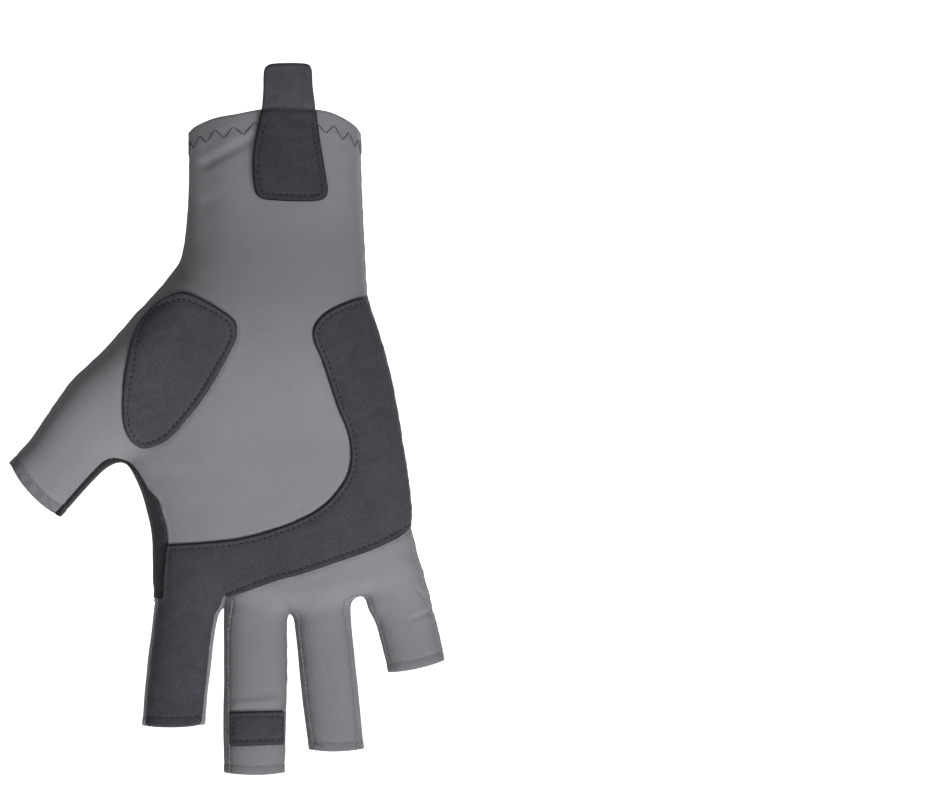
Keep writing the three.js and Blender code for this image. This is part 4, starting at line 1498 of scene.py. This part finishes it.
over = V[:, 2] - rim_height(V[:, 0], V[:, 1])
# edge gives the tab's cut edge a painted shadow line, fainter above the rim; the tone is lighter above the rim, with
# a darker band inside the edge below it
V2, F, ex = shell(tab, top, lining_top + 0.05, np.full(len(V), 0.6),
                  {"edge": d + 0.3 * ramp(over + 1), "tone": 0.91 + 0.66 * ramp((over + 0.3) / 0.9)
                   - 0.1 * ramp((2.1 - d) / 0.5) * ramp(-over)})
ob = mesh_object("pull_tab_suede", V2, F, M_SUEDE, ex, uv=cloth_uv(V2))
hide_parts("pull_tab")
dark_stitches.along(V, tab.T, d - 2.0, top, sewn - 0.6, STITCH, 1.25)

dark_stitches.make("patch_stitches", M_THREAD_DARK)
seam_stitches.make("seam_stitches", M_THREAD_GREY)
hem_stitches.make("hem_stitches", M_THREAD_GREY)


# ---------------------------------------------------------------- zigzag round the cuff
def zig_centre(P):
    return 5.6 + 1.0 * ramp((P[:, 1] + 6) / 12)


A, B, t, runs = contour(net.V, net.T, net.V[:, 2] - rim_height(net.V[:, 0], net.V[:, 1]) + zig_centre(net.V))
run = max(runs, key=len)
loop = eased(net.V[A[run]] * (1 - t[run])[:, None] + net.V[B[run]] * t[run][:, None])
loop = np.concatenate([loop[:-1], loop[:1]])
s = arc_length(loop)
legs = 2 * int(round(s[-1] / 7.4))
zigzag = Threads(0.17, 54)
rng = np.random.default_rng(8)
knots = s[-1] / legs * (np.arange(legs + 1) + rng.normal(0, 0.035, legs + 1))
high = 1.9 * np.where(np.arange(legs + 1) % 2 == 0, 1, -1) * (1 + rng.normal(0, 0.06, legs + 1))
for i in range(legs):
    q = np.linspace(knots[i], knots[i + 1], 11)
    P = np.stack([np.interp(q % s[-1], s, loop[:, c]) for c in range(3)], 1)
    P[:, 2] += np.linspace(high[i], high[i + 1], 11)
    P = settle(P, 2)
    clear = (P[:, 1] > 0) | (poly_distance(P[:, 0], P[:, 2], TAB) < -0.3)
    if clear.sum() < 4:
        continue
    P = P[clear]
    zigzag.stitch(P, unit(gradient(P)), relief(P) + 0.02, depth=0.3, flat=4.0)
zigzag.make("cuff_zigzag", M_THREAD_ZIG)


# ---------------------------------------------------------------- plain printed bars on the back
# Long row: from the wrist towards the little finger. Short row: down the index finger.
LONG_ROW = dict(first=9.0, last=1.5, count=13, top=-41.5, foot=-136.0, wide=6.8, lean=2.6)
SHORT_ROW = dict(first=5.6, last=1.6, count=6, top=-168.0, foot=-197.6, wide=5.2, lean=-1.9)


def bar_row(row, left):
    """Slanted bars that get shorter down the row; left gives the row's side at a level."""
    length = np.linspace(row["first"], row["last"], row["count"])
    gap = (row["top"] - row["foot"] - length.sum()) / (row["count"] - 1)
    z = row["top"]
    for n in length:
        e = z - n
        x0, x1, h = left(z), left(e), row["lean"] / 2
        yield np.array([(x0, z - h), (x0 + row["wide"], z + h), (x1 + row["wide"], e + h), (x1, e - h)])
        z = e - gap


BARS = list(bar_row(LONG_ROW, lambda z: 21.8 + 13.4 * (-41.5 - z) / 94.5))
BARS += list(bar_row(SHORT_ROW, lambda z: float(np.interp(-z, [168.0, 200.0], [-39.9, -42.7]))))


def bars_value(P):
    x, y, z = P.T
    out = np.full(len(P), -9.0)
    back = y > seam_y(x, z) + 1
    for bar in BARS:
        lo, hi = bar.min(axis=0) - 1.5, bar.max(axis=0) + 1.5
        m = back & (x > lo[0]) & (x < hi[0]) & (z > lo[1]) & (z < hi[1])
        if m.any():
            out[m] = np.maximum(out[m], poly_distance(x[m], z[m], bar))
    return out


back = PARTS["back"]
be, be_hem = edges_split(back)
BACK_A, BACK_B = back.V[be[~be_hem, 0]], back.V[be[~be_hem, 1]]
work = Net(back.V.copy(), back.T.copy())
work.lock[np.unique(be)] = True
work.cut(bars_value, 0, snap=0.25)
film = work.part((work.lab & 1) > 0).keep_main(12)
V = film.V
d = distance_to(V, BACK_A, BACK_B)
face = relief(V) + dip(d) + hem_height(V, hem_distance(V)) + 0.09 * waves(V, 3.8, 9) * bell(d - 1.3, 1.6)
V2, F, ex = shell(film, face + 0.08, face + 0.015, np.full(len(V), 0.2))
mesh_object("printed_bars", V2, F, M_PRINT, ex, uv=cloth_uv(V2))


# ---------------------------------------------------------------- stage, light, camera
def box(name, lo, hi, material):
    x0, y0, z0 = lo
    x1, y1, z1 = hi
    V = [(x, y, z) for x in (x0, x1) for y in (y0, y1) for z in (z0, z1)]
    F = [(0, 1, 3, 2), (4, 6, 7, 5), (0, 4, 5, 1), (2, 3, 7, 6), (0, 2, 6, 4), (1, 5, 7, 3)]
    me = bpy.data.meshes.new(name)
    me.from_pydata(V, [], F)
    me.materials.append(material)
    ob = bpy.data.objects.new(name, me)
    bpy.context.scene.collection.objects.link(ob)
    return ob


M_STAGE = plain_material("stage_pale", (0.93, 0.93, 0.93))
M_BACK = plain_material("stage_backdrop", (0.95, 0.95, 0.95), glow=1.0)
box("floor", (-4, -4, -1.02), (4, 4, -1.0), M_STAGE)


def studio(radius, material):
    """A plain white studio wall all round: only a backdrop, it neither lights nor shades."""
    n, m = 48, 24
    V = [(radius * math.sin(math.pi * j / m) * math.cos(2 * math.pi * i / n),
          radius * math.sin(math.pi * j / m) * math.sin(2 * math.pi * i / n),
          radius * math.cos(math.pi * j / m)) for j in range(1, m) for i in range(n)]
    F = [(j * n + i, (j + 1) * n + i, (j + 1) * n + (i + 1) % n, j * n + (i + 1) % n)
         for j in range(m - 2) for i in range(n)]
    F += [tuple(range(n)), tuple(reversed(range((m - 2) * n, (m - 1) * n)))]
    me = bpy.data.meshes.new("backdrop")
    me.from_pydata(V, [], F)
    me.materials.append(material)
    ob = bpy.data.objects.new("backdrop", me)
    bpy.context.scene.collection.objects.link(ob)
    ob.visible_diffuse = ob.visible_glossy = ob.visible_shadow = False
    return ob


studio(3.0, M_BACK)


def area(name, where, target, size, power, color=(1, 1, 1), spread=180):
    light = bpy.data.lights.new(name, "AREA")
    light.shape = "DISK"
    light.size = size
    light.energy = power
    light.color = color
    light.spread = math.radians(spread)
    ob = bpy.data.objects.new(name, light)
    ob.location = where
    ob.rotation_euler = (Vector(target) - Vector(where)).to_track_quat("-Z", "Y").to_euler()
    bpy.context.scene.collection.objects.link(ob)
    return ob


area("key", (0.36, -0.46, -0.30), (0.0, 0.0, -0.135), 0.30, 0.55, spread=75)
area("low_key", (0.05, -0.56, -0.68), (0.0, 0.0, -0.11), 0.40, 4.3)
area("back_light", (0.25, 0.95, 0.10), (0.0, 0.0, -0.10), 0.7, 9.0)

world = bpy.data.worlds.new("studio")
bpy.context.scene.world = world
world.use_nodes = True
world.node_tree.nodes["Background"].inputs["Color"].default_value = (1, 1, 1, 1)
world.node_tree.nodes["Background"].inputs["Strength"].default_value = 0.36

cam = bpy.data.cameras.new("camera")
cam.type = "ORTHO"
cam.ortho_scale = 0.32725
cam.clip_start, cam.clip_end = 0.01, 20
eye = bpy.data.objects.new("camera", cam)
eye.location = (0.0677, -1.2, -0.0936)
eye.rotation_euler = (math.pi / 2, 0, 0)
bpy.context.scene.collection.objects.link(eye)
bpy.context.scene.camera = eye
bpy.context.scene.view_settings.view_transform = "Standard"
